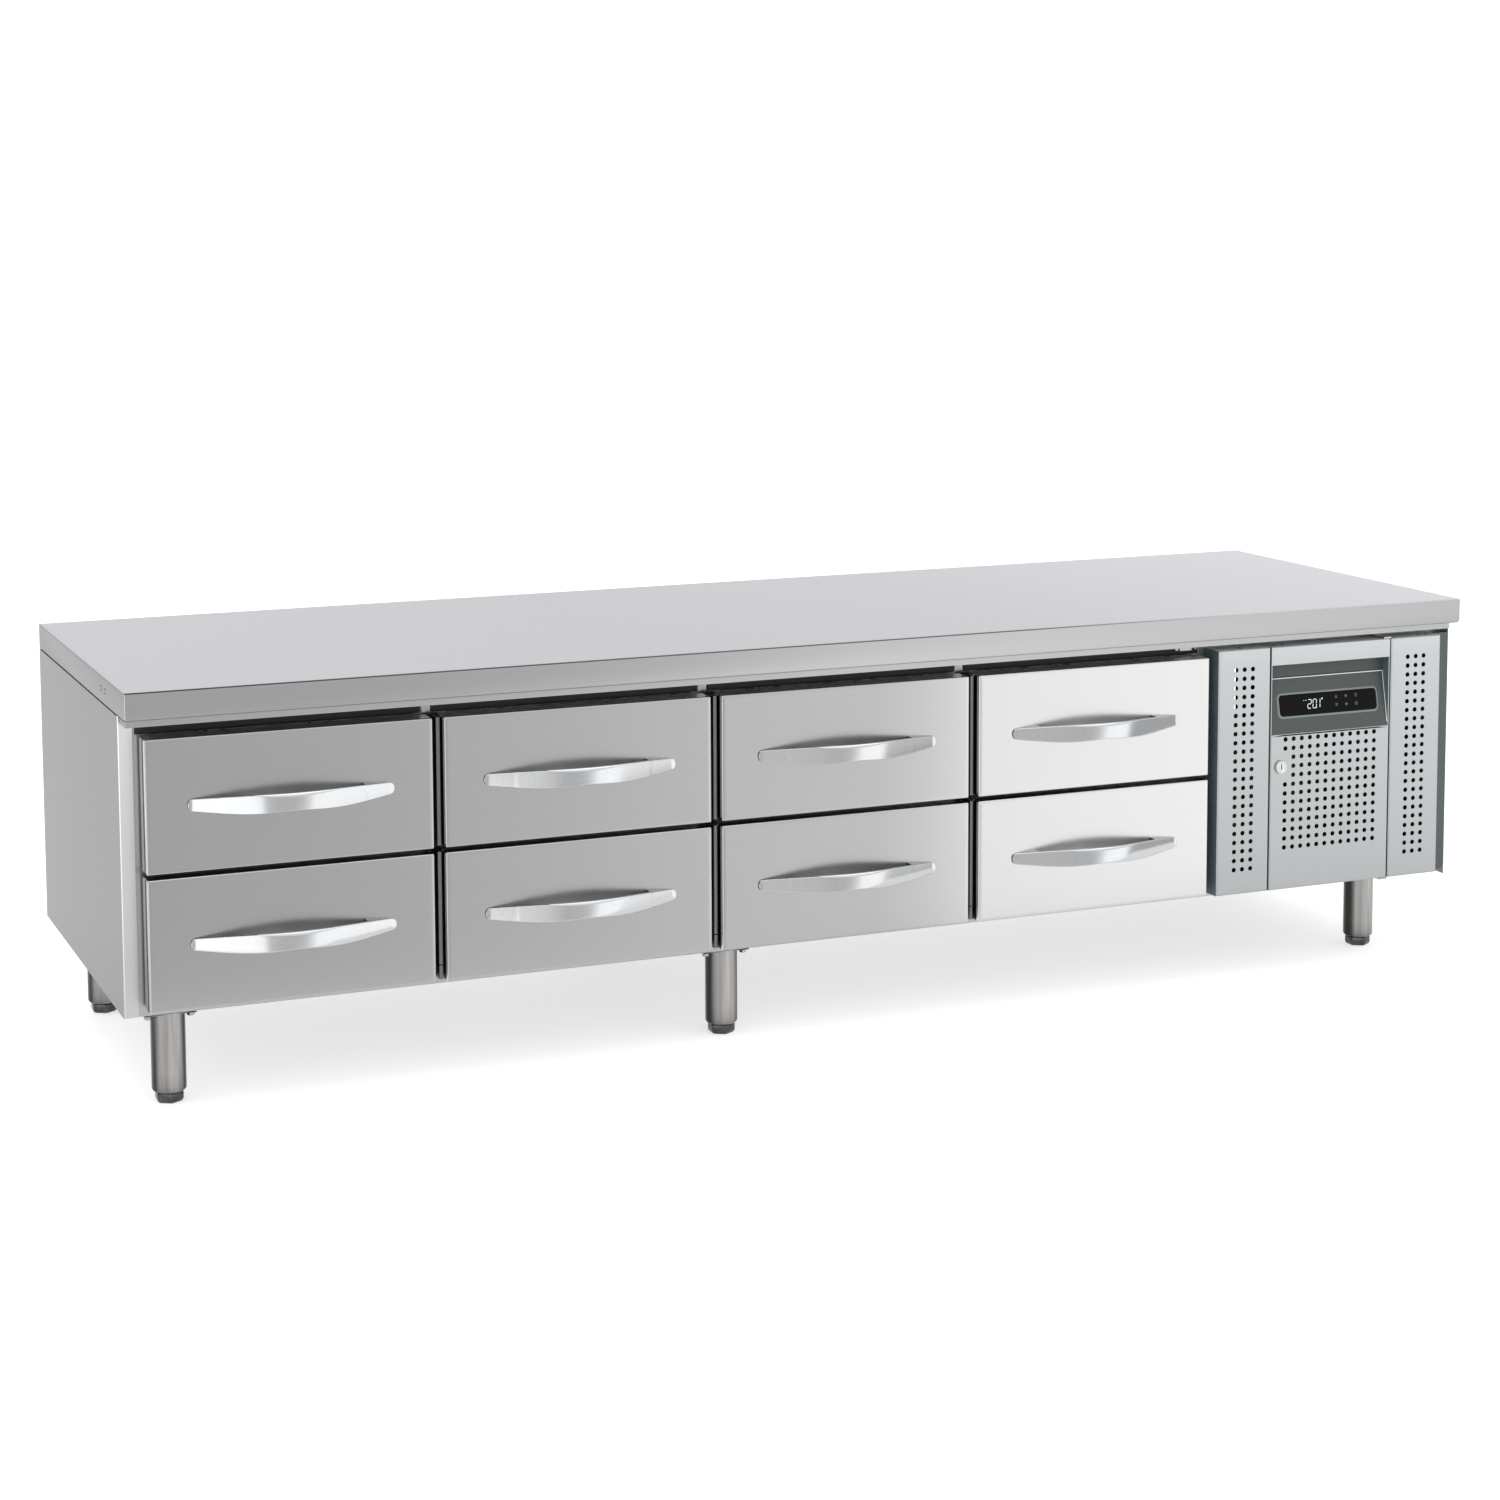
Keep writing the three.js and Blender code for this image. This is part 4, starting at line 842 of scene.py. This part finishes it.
def cover_panel(low, high, grid, corner, depths, closed=(), bend=1.6):
    """A perforated sheet whose margin bends back on four sides. Each point of the tiles' border
    keeps its share of its side on every loop further out. Depths: bottom, right, top, left."""
    columns, rows = grid
    points, faces = tiles(columns, rows, PITCH, corner, HOLE, face_y, SHEET, closed)
    inner = border(columns, rows, PITCH, corner)
    runs = np.repeat(np.arange(4), [4 * columns, 4 * rows, 4 * columns, 4 * rows])
    starts = corner + np.array([(0, 0), (columns, 0), (columns, rows), (0, rows)]) * PITCH
    span = np.linalg.norm(np.roll(starts, -1, axis=0) - starts, axis=1)
    along = np.linalg.norm(inner - starts[runs], axis=1) / span[runs]

    def frame_loop(inset):
        left, right, bottom, top = low[0] + inset, high[0] - inset, low[1] + inset, high[1] - inset
        corners = np.array([(left, bottom), (right, bottom), (right, top), (left, top)])
        return corners[runs] + (np.roll(corners, -1, axis=0) - corners)[runs] * along[:, None]

    depth, inside = np.array(depths, float)[runs], max(bend - SHEET, 0.1)
    turns = [(1 - math.sin(angle), 1 - math.cos(angle)) for angle in np.linspace(0, np.pi / 2, 4)]
    loops = [(inner, 0 * depth), (frame_loop(bend + 2.0), 0 * depth)]
    loops += [(frame_loop(bend * inset), 0 * depth + bend * down) for inset, down in turns]
    loops += [(frame_loop(0), depth), (frame_loop(SHEET), depth)]
    loops += [(frame_loop(SHEET + inside * inset), 0 * depth + SHEET + inside * down)
              for inset, down in turns[::-1]]
    loops += [(inner, 0 * depth + SHEET)]
    rings = [np.column_stack([loop[:, 0], face_y + down, loop[:, 1]]) for loop, down in loops]
    margin_points, margin_faces, _ = skin(rings, caps=(False, False))
    shifted = (np.array(margin_faces) + len(points)).tolist()
    return np.vstack([points, margin_points]), faces + shifted, 0


# %% Side grilles
PITCH, HOLE = np.array([15.7, 15.05]), 4.0
GRILLE_COLUMNS, GRILLE_ROWS = 3, 23
deep = cabinet_front - 0.4 - face_y
COVER_MATERIALS = [cover_steel, shade_coat, painted_light_coat]


def tone_returns(piece):
    """The returns at the sides lie in shade, and the ones on top catch light from above."""
    for direction, index in ((Z, 2), (-X, 1), (X, 1)):
        reface(piece, direction, index, 0.95)


for name, piece, depths in (("grille_left", "cover_left", (deep, 18, deep, deep)),
                            ("grille_right", "cover_right", (deep, deep, deep, 18))):
    low, high = place(name)
    corner = np.array([(low[0] + high[0]) / 2, high[2] - 33]) - PITCH * (1.5, 22.5)
    grille = cover_panel(low[::2], high[::2], (GRILLE_COLUMNS, GRILLE_ROWS), corner, depths)
    tone_returns(make(piece, [grille], COVER_MATERIALS, "cabinet", [name]))

# %% [markdown]
# ### The strip behind the first holes
# Through the left grille's first column of holes a near-white strip right behind the sheet shows
# at the edge of each hole: painted highlights. Without it these holes would be plain black like
# the others.

# %% Highlight strip behind the left grille
grille_low, grille_high = place("grille_left")
cover_bottom, cover_top = grille_low[2], grille_high[2]
first_holes = (grille_low[0] + grille_high[0]) / 2 - PITCH[0]
highlight_strip = slab((first_holes - 6, face_y + 1.25, cover_bottom + 300),
           (first_holes - 0.2, face_y + 2.6, cover_top - 24), 0.4)
make("grille_highlight_strip", [highlight_strip], [painted_highlight_steel], "cabinet")
print("grilles made: 2, holes in each:", GRILLE_COLUMNS * GRILLE_ROWS)

# %% [markdown]
# ## Service door
# The middle panel is a door on two pins. Its lower part is perforated, with no holes where the
# lock sits, and above it the sheet is open round the bezel and closes again in a plain strip.

# %% Door
DOOR_DEEP, DOOR_COLUMNS, DOOR_ROWS, FIRST_ROW = 20.0, 12, 13, 8.5
LOCK_ROWS = (2, 3, 4)
(door_left, _, _), (door_right, _, _) = place("service_door")
bezel_low, bezel_high = place("control_bezel")
door_middle = (door_left + door_right) / 2
bezel_bottom, strip_bottom = bezel_low[2] - 0.3, bezel_high[2] + 0.3
door_corner = np.array([
    door_middle - 6 * PITCH[0], bezel_bottom - FIRST_ROW - 12.5 * PITCH[1]])
lower_door = cover_panel(
    (door_left, cover_bottom), (door_right, bezel_bottom), (DOOR_COLUMNS, DOOR_ROWS), door_corner,
    (DOOR_DEEP, DOOR_DEEP, 6, DOOR_DEEP), [(0, DOOR_ROWS - 1 - row) for row in LOCK_ROWS], bend=1.0)
strip_path = bent([
    (face_y + DOOR_DEEP, cover_top), (face_y, cover_top), (face_y, strip_bottom),
    (face_y + 17.5, strip_bottom)], 1.8)
strip = carried(ribbon(strip_path, SHEET), door_left, door_right, 0)
cheeks = [
    slab((left, face_y + 0.05, bezel_bottom - 1),
         (left + 1.9, face_y + DOOR_DEEP, cover_top - 2), 0.6, axis=0)
    for left in (door_left, door_right - 1.9)]
pins = [
    turned([(0.2, low), (1.5, low), (1.5, high), (0.2, high)],
           (door_right - 5, face_y + 4.5, 0), steps=24, material=1)
    for low, high in ((cover_top - 2, cover_top + 3.8), (cover_bottom - 3.8, cover_bottom + 2))]
tone_returns(make("door_cover", [lower_door, strip, *cheeks, *pins], COVER_MATERIALS,
                  "service_door", ["service_door"]))
print("holes in the door:", DOOR_COLUMNS * DOOR_ROWS - len(LOCK_ROWS))

# %% [markdown]
# ### Top of the cover
# The covers hang on screws through their top returns, and a sheet behind the door's top
# closes the gap to the cabinet; its pale coat is painted light. All are small, so plates and
# turned pieces are enough.

# %% Sheet and screws on top of the cover
SCREW_PLACES = (704.0, 768.0, 786.0, 1052.0, 1068.0)
head = slab((door_left + 1, face_y + 21.4, cover_top - 1.7),
            (door_right - 1, cabinet_front - 0.4, cover_top - 0.3), 0.4)
ledge_screws = [
    turned([(2.6, -0.1), (2.6, 0.3), (2.0, 0.5), (0.3, 0.3)], (x, face_y + 17, cover_top), steps=24)
    for x in SCREW_PLACES]
make("cover_head", [head], [painted_light_coat], "cabinet")
make("cover_screws", ledge_screws, [black_trim_and_shade], "cabinet")
print("screws on the cover:", len(ledge_screws))

# %% [markdown]
# ## Control bezel
# A moulded plastic face leans back from the door to the bottom of a shallow recess, with the
# controller behind dark glass in the middle of it.

# %% Bezel, rim and glass
LEAN = math.atan2(18, 91)
lean_up = np.array([0, math.sin(LEAN), math.cos(LEAN)])
lean_out = np.array([0, -math.cos(LEAN), math.sin(LEAN)])
bezel_middle = np.array([door_middle, face_y + 9, bezel_bottom + 45.5])
recess_top = strip_bottom - bezel_bottom - 0.3
section = np.array([face_y, bezel_bottom]) + [
    (0.9, 0.3), (24, 0.3), (24, recess_top), (18.4, recess_top), (18.4, 92.4), (17.2, 91.6),
    (17.0, 90.2), (0.6, 4.6), (0.2, 2.2)]
bezel_body = carried(section, door_left + 2.3, door_right - 2.3, 0)
housing = slab((door_left + 20, face_y + 23, bezel_bottom + 0.4),
               (door_right - 20, bezel_high[1], strip_bottom - 0.4), 3)
rim = stack(bezel_middle - 0.5 * lean_out, (197, 43), 9.5,
            [(0, -3), (0, 0.4), (0.6, 1.2), (2.6, 2.1), (3.2, 2.2), (4.2, 2.2)],
            X, lean_up, lean_out, material=1, steps=8)
make("bezel_moulding", [bezel_body, housing, rim], [grey_plastic, rim_plastic], "service_door",
     ["control_bezel"])
pane = stack(bezel_middle, (189.6, 35.6), 6.8, closing(0.6, 2.0, 3, 3), X, lean_up, lean_out,
             steps=8)
make("controller_glass", [pane], [glass], "service_door", ["controller"])
print("bezel leans back by degrees:", round(math.degrees(LEAN), 1))

# %% [markdown]
# ## Display
# The controller shows a temperature in slanted bars of light, and six small key marks beside it.
# Every mark is a row of flat bars laid on the glass, placed from the middle of the glass.


# %% Bars on the glass
def bar(start, end, width=0.9, material=0, heights=(1.9, 2.08)):
    """A flat bar between two points, counted from the middle of the glass in millimetres."""
    start, end = np.array(start, float), np.array(end, float)
    step = (end - start) / np.linalg.norm(end - start)
    side = np.array([-step[1], step[0]]) * width / 2
    flat = np.array([start - side, end - side, end + side, start + side])
    rings = [bezel_middle + flat[:, :1] * X + flat[:, 1:] * lean_up + out * lean_out
             for out in heights]
    return skin(rings, material=material)


# %% Digits and outlines
SEGMENTS = {
    "a": ((0, 1), (1, 1)), "b": ((1, 1), (1, 0.5)), "c": ((1, 0.5), (1, 0)), "d": ((0, 0), (1, 0)),
    "e": ((0, 0), (0, 0.5)), "f": ((0, 0.5), (0, 1)), "g": ((0, 0.5), (1, 0.5))}


def digit(segments, left, width=6.6, height=14.4, gap=0.7, slant=0.11):
    """Bars for the lit segments, each shorter by a gap at both ends and slanted by its height."""
    bars = []
    for letter in segments:
        points = np.array(SEGMENTS[letter], float) * (width, height)
        points += (points[::-1] - points) / np.linalg.norm(points[1] - points[0]) * gap
        points += np.column_stack([left + slant * points[:, 1], [-height / 2] * 2])
        bars.append(bar(*points, 1.0))
    return bars


def outline(centre, radius, sides, turn=90.0, width=0.7, material=1):
    """Bars joining the corners of a regular polygon."""
    angle = np.radians(turn) + np.arange(sides) * 2 * np.pi / sides
    points = np.array(centre) + radius * np.column_stack([np.cos(angle), np.sin(angle)])
    return [bar(start, end, width, material)
            for start, end in zip(points, np.roll(points, -1, axis=0))]


# %% Temperature, key marks and painted highlights on the bezel
DEGREE_RADIUS, STAR_REACH = 1.1, 2.6
lit = digit("abged", -40.5) + digit("abcdef", -30.5) + digit("bc", -23.5)
lit += [bar((-23.6, -7), (-22.6, -7), 1.0)]
lit += [bar((left, 6.2), (left + 1.3, 6.2), 1.1) for left in (-43.5, -47.5)]
lit += outline((-11.4, 7.2), DEGREE_RADIUS, 6, width=0.8, material=0)
marks = outline((16, 8.2), 2.6, 3) + outline((16, -4.4), 2.6, 3, -90.0)
marks += outline((54.5, 9.4), 2.0, 6) + [bar((53.6, 6.2), (55.4, 6.2), 0.8, 1)]
marks += outline((54.5, -5.2), 2.3, 8) + [bar((54.5, -4.8), (54.5, -1.8), 0.8, 1)]
for turn in np.radians((0, 60, 120)):
    reach = STAR_REACH * np.array([math.cos(turn), math.sin(turn)])
    marks += [bar(middle - reach, middle + reach, 0.8, 1)
              for middle in (np.array([35, 8.6]), np.array([35, -5.0]))]
make("display_marks", lit + marks, [lit_ink, grey_ink], "service_door")
# Painted highlights: two pale bars along the top and right edges of the bezel's face.
bezel_highlights = [bar((-112.6, 45.4), (112.6, 45.4), 1.3, 0, (0.3, 1.0)),
              bar((112.0, 45.4), (112.0, -40), 1.1, 0, (0.3, 1.0))]
make("bezel_painted_highlights", bezel_highlights, [painted_light_coat], "service_door")
print("bars on the glass:", len(lit) + len(marks))

# %% [markdown]
# ## Lock
# A small key lock: a bright rosette, a plug with a slot, and behind the door a cam that hooks
# behind the next panel. The rosette and the plug are one profile turned about the lock's axis.

# %% Lock
lock_low, lock_high = place("door_lock")
lock_x, lock_z = door_left + 20, bezel_bottom - FIRST_ROW - 3 * PITCH[1]
ROSETTE_PROFILE = [
    (0.4, 0.3), (4.6, 0.3), (5.0, 0.9), (7.6, 0.9), (8.2, 0.2), (9.6, 0.0), (10.9, 0.5),
    (11.4, 1.4), (11.4, 2.9), (8.4, 3.0), (8.4, 25.2), (0.4, 25.2)]
rosette = turned(ROSETTE_PROFILE, (lock_x, lock_low[1], lock_z), X, Z, Y, 48)
key_slot = slab((lock_x - 0.9, lock_low[1], lock_z - 4),
                (lock_x + 0.9, lock_low[1] + 1.2, lock_z + 4), 0.3, material=1)
cam = slab((lock_x - 6, lock_high[1] - 2, lock_z - 6),
           (lock_x + 6, lock_high[1], lock_high[2]), 0.5)
make("lock_set", [rosette, key_slot, cam], [lock_metal, black_trim_and_shade], "door_lock",
     ["door_lock"])
print("lock at x and z:", round(lock_x, 1), round(lock_z, 1))

# %% [markdown]
# ## Shade strips above the drawers
# Above each column a black strip paints the shade under the worktop, and a bright tab shows
# between columns. Black strips at the mullions paint the shade in the gaps. In the gaps stand thin
# fins, the folded edges of the mullions, in a darker copy of the steel: painted shade.

# %% Painted shade strips, fins and tabs
MULLIONS = np.array([-659.0, -224.0, 211.0])
SHADE_BAND_LOW, SHADE_BAND_HIGH = 541.0, 559.8
# Painted shade: black strips where the frame lies in shade above each column and at the mullions.
shade_strip_ends = zip([-1052.0, *(MULLIONS + 1)], [*(MULLIONS - 14.6), 640.0])
shade_strips = [
    slab((left, cabinet_front - 1.1, SHADE_BAND_LOW), (right, cabinet_front - 0.2, SHADE_BAND_HIGH), 0.3)
    for left, right in shade_strip_ends]
shade_strips.append(slab(
    (-1090, cabinet_front - 1.1, SHADE_BAND_LOW), (-1051.5, cabinet_front - 0.2, 551), 0.3))
gap_shades = [slab((x - 12, cabinet_front - 1.1, body_low[2] + 12),
              (x + 12, cabinet_front - 0.2, SHADE_BAND_LOW - 0.5), 0.3) for x in MULLIONS]
make("painted_shade_strips", [*shade_strips, *gap_shades], [black_trim_and_shade], "cabinet")
fin_ends = ((body_low[2] + 36, 338.5), (348, 538), (body_low[2] + 14, body_low[2] + 34.8))
fins = [slab((x + 0.2, face_y + 14, low), (x + 6.6, cabinet_front - 0.2, high), 0.6)
        for x in MULLIONS for low, high in fin_ends]
make("mullion_fins", fins, [painted_shade_fin_steel], "cabinet")
tab_boxes = [(x - 13.6, x + 0.4, SHADE_BAND_LOW, SHADE_BAND_HIGH) for x in MULLIONS]
tabs = [slab((left, cabinet_front - 2.2, low), (right, cabinet_front - 0.3, high), 0.6)
        for left, right, low, high in [*tab_boxes, (606, 630, 546, 556)]]
tabs += [turned([(0.3, 0), (3.2, 0), (3.2, 2.4), (0.3, 2.6)], (x, cabinet_front - 0.9, z),
                X, Z, -Y, 20) for x, z in ((600, 551), (636, 551), (-1050, 556))]
make("mullion_tabs", tabs, [top_steel], "cabinet")
print("pockets, fins and tabs:", len(shade_strips) + len(gap_shades), len(fins), len(tabs))

# %% [markdown]
# ## Pieces that keep their CAD shape
# The carcass, the runners, the drawer frames and the cooling unit already have their real shape,
# so they only need materials. The carcass steel is near black inside the machine bay, and the
# condenser and evaporator metal is dark: painted shade.

# %% Dress the CAD nodes
dressing = {
    "cabinet_body": frame_steel, "runner_rack_1": runner_steel, "runner_rack_2": runner_steel,
    "runner_rack_3": runner_steel, "condenser": machine_metal, "evaporator": machine_metal,
    "condenser_fan": fan_plastic, "evaporator_fan": fan_plastic, "compressor": enamel}
for drawer in drawers:
    dressing |= {f"{drawer}_frame": runner_steel, f"{drawer}_gasket": rubber}
for node, material in dressing.items():
    slots_of_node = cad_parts[node].data.materials
    slots_of_node.clear()
    slots_of_node.append(material)
print("CAD nodes dressed:", len(dressing))

# %% [markdown]
# ## Floor and light
# A product photographer lights steel with what it mirrors. The object stands near the front edge
# of a pale sheet, so that its fronts look past the sheet at the room, under one large soft light.
# The sheet is lit from below as well, like a light table, which keeps the shadow on it faint.

# %% Floor
FLOOR_FRONT, FLOOR_REACH = -0.8, 30
floor_mesh = bpy.data.meshes.new("floor")
floor_mesh.from_pydata([
    (-FLOOR_REACH, FLOOR_FRONT, 0), (FLOOR_REACH, FLOOR_FRONT, 0), (FLOOR_REACH, FLOOR_REACH, 0),
    (-FLOOR_REACH, FLOOR_REACH, 0)], [], [(0, 1, 2, 3)])
floor_material = dull("floor_paper", (0.5, 0.52), (0.8, 0.9), 3, relief=0.0)
socket(floor_material, "Emission Color").default_value = (1, 1, 1, 1)
socket(floor_material, "Emission Strength").default_value = 0.6
floor_mesh.materials.append(floor_material)
floor = bpy.data.objects.new("floor", floor_mesh)
bpy.context.scene.collection.objects.link(floor)
print("floor reaches in metres:", FLOOR_FRONT, "to", FLOOR_REACH)

# %% Soft light from above
lamp_data = bpy.data.lights.new("top_soft", "AREA")
lamp_data.shape = "RECTANGLE"
lamp_data.size, lamp_data.size_y = 4.0, 1.6
lamp_data.energy = 16
lamp = bpy.data.objects.new("top_soft", lamp_data)
lamp.location = (0.0, -0.7, 2.8)
lamp.rotation_euler = Vector((0.0, 0.0, -2.8)).to_track_quat("-Z", "Y").to_euler()
bpy.context.scene.collection.objects.link(lamp)
print("lamp in metres:", lamp_data.size, "by", round(lamp_data.size_y, 2))

# %% [markdown]
# ## What the steel mirrors
# Photographed steel shows the studio in front of it: white screens at the left and right with a
# dimmer wall between them. Here the surroundings are a ring of brightness by compass direction,
# counted from straight in front. Higher up the ring fades into an even wall, and the wall into a
# brighter ceiling, so that the flat top has one calm tone from every side.

# %% Surroundings
BEARINGS = [-180, -155, -145, -92, -84, -60, -24, -20, -17, -12, -5, 11, 18, 24, 29, 43, 50, 54,
            59, 64, 80, 98, 104, 136, 141, 172, 180]
LEVELS = [0.9, 0.85, 0.3, 0.3, 0.95, 1.5, 2.2, 1.9, 1.1, 0.97, 0.87, 0.90, 1.05, 1.4, 1.85, 1.9,
          1.9, 1.75, 1.1, 0.7, 0.75, 0.65, 0.3, 0.3, 1.1, 1.1, 0.9]
BRIGHTEST, UPPER, CEILING = 2.4, 1.15, 1.65
WALL_TOP, UPPER_FROM, CEILING_FROM = 0.14, 0.32, 0.7

world = bpy.data.worlds.new("studio")
world.use_nodes = True
sky = world.node_tree
x, y, height = parted(sky, added(sky, "ShaderNodeTexCoord", {})["Generated"])
ring = ramped(sky, turn_share(sky, x, ranged(sky, y, 1, -1, -1, 1)), [
    ((angle + 180) / 360, level / BRIGHTEST) for angle, level in zip(BEARINGS, LEVELS)])
walls = reckoned(sky, "MULTIPLY", ring, ranged(sky, height, 1, 0, WALL_TOP, UPPER_FROM))
upper = reckoned(
    sky, "ADD", ranged(sky, height, 0, UPPER / BRIGHTEST, WALL_TOP, UPPER_FROM),
    ranged(sky, height, 0, (CEILING - UPPER) / BRIGHTEST, UPPER_FROM, CEILING_FROM))
room = sky.nodes["Background"]
sky.links.new(reckoned(sky, "ADD", walls, upper), room.inputs["Color"])
room.inputs["Strength"].default_value = BRIGHTEST
bpy.context.scene.world = world
print("stops in the ring of light:", len(BEARINGS))

# %% [markdown]
# ## Plain white behind the object
# A catalogue picture has plain white behind the object. Rays straight from the camera see white
# paper, and all others still see the room, so what the steel mirrors stays the same.

# %% White paper for the camera's own rays
paper = added(sky, "ShaderNodeBackground", {"Color": (1, 1, 1, 1), "Strength": 1.05})
rays = added(sky, "ShaderNodeLightPath", {})
seen = added(sky, "ShaderNodeMixShader", {
    0: rays["Is Camera Ray"], 1: room.outputs["Background"], 2: paper["Background"]})
sky.links.new(seen["Shader"], sky.nodes["World Output"].inputs["Surface"])
print("nodes in the world:", len(sky.nodes))

# %% [markdown]
# ## Camera
# The lens and the place come from the photograph's own straight edges. Its upright edges stay
# nearly upright, as with a level camera whose film plane was moved down. A little under half of
# that is done by the shift here, and the rest by looking 6 degrees down, so that other views,
# which keep the shift, still hold the object.

# %% Camera
LENS = 71.448
SHIFT = (-0.0085, -0.18)
STAND = (-1.8839, -4.4249, 1.3311)
ANGLES = (22.947, 5.989, -0.186)
camera_data = bpy.data.cameras.new("camera")
camera_data.sensor_width = 36
camera_data.lens = LENS
camera_data.shift_x, camera_data.shift_y = SHIFT
camera = bpy.data.objects.new("camera", camera_data)
bpy.context.scene.collection.objects.link(camera)
camera.location = STAND
heading, down, roll = np.radians(ANGLES)
camera.rotation_euler = (
    Matrix.Rotation(-heading, 3, "Z") @ Matrix.Rotation(math.pi / 2 - down, 3, "X")
    @ Matrix.Rotation(roll, 3, "Z")).to_euler()
bpy.context.scene.camera = camera
bpy.context.scene.view_settings.view_transform = "Standard"
print("camera at", STAND, "with a lens of", LENS, "mm")
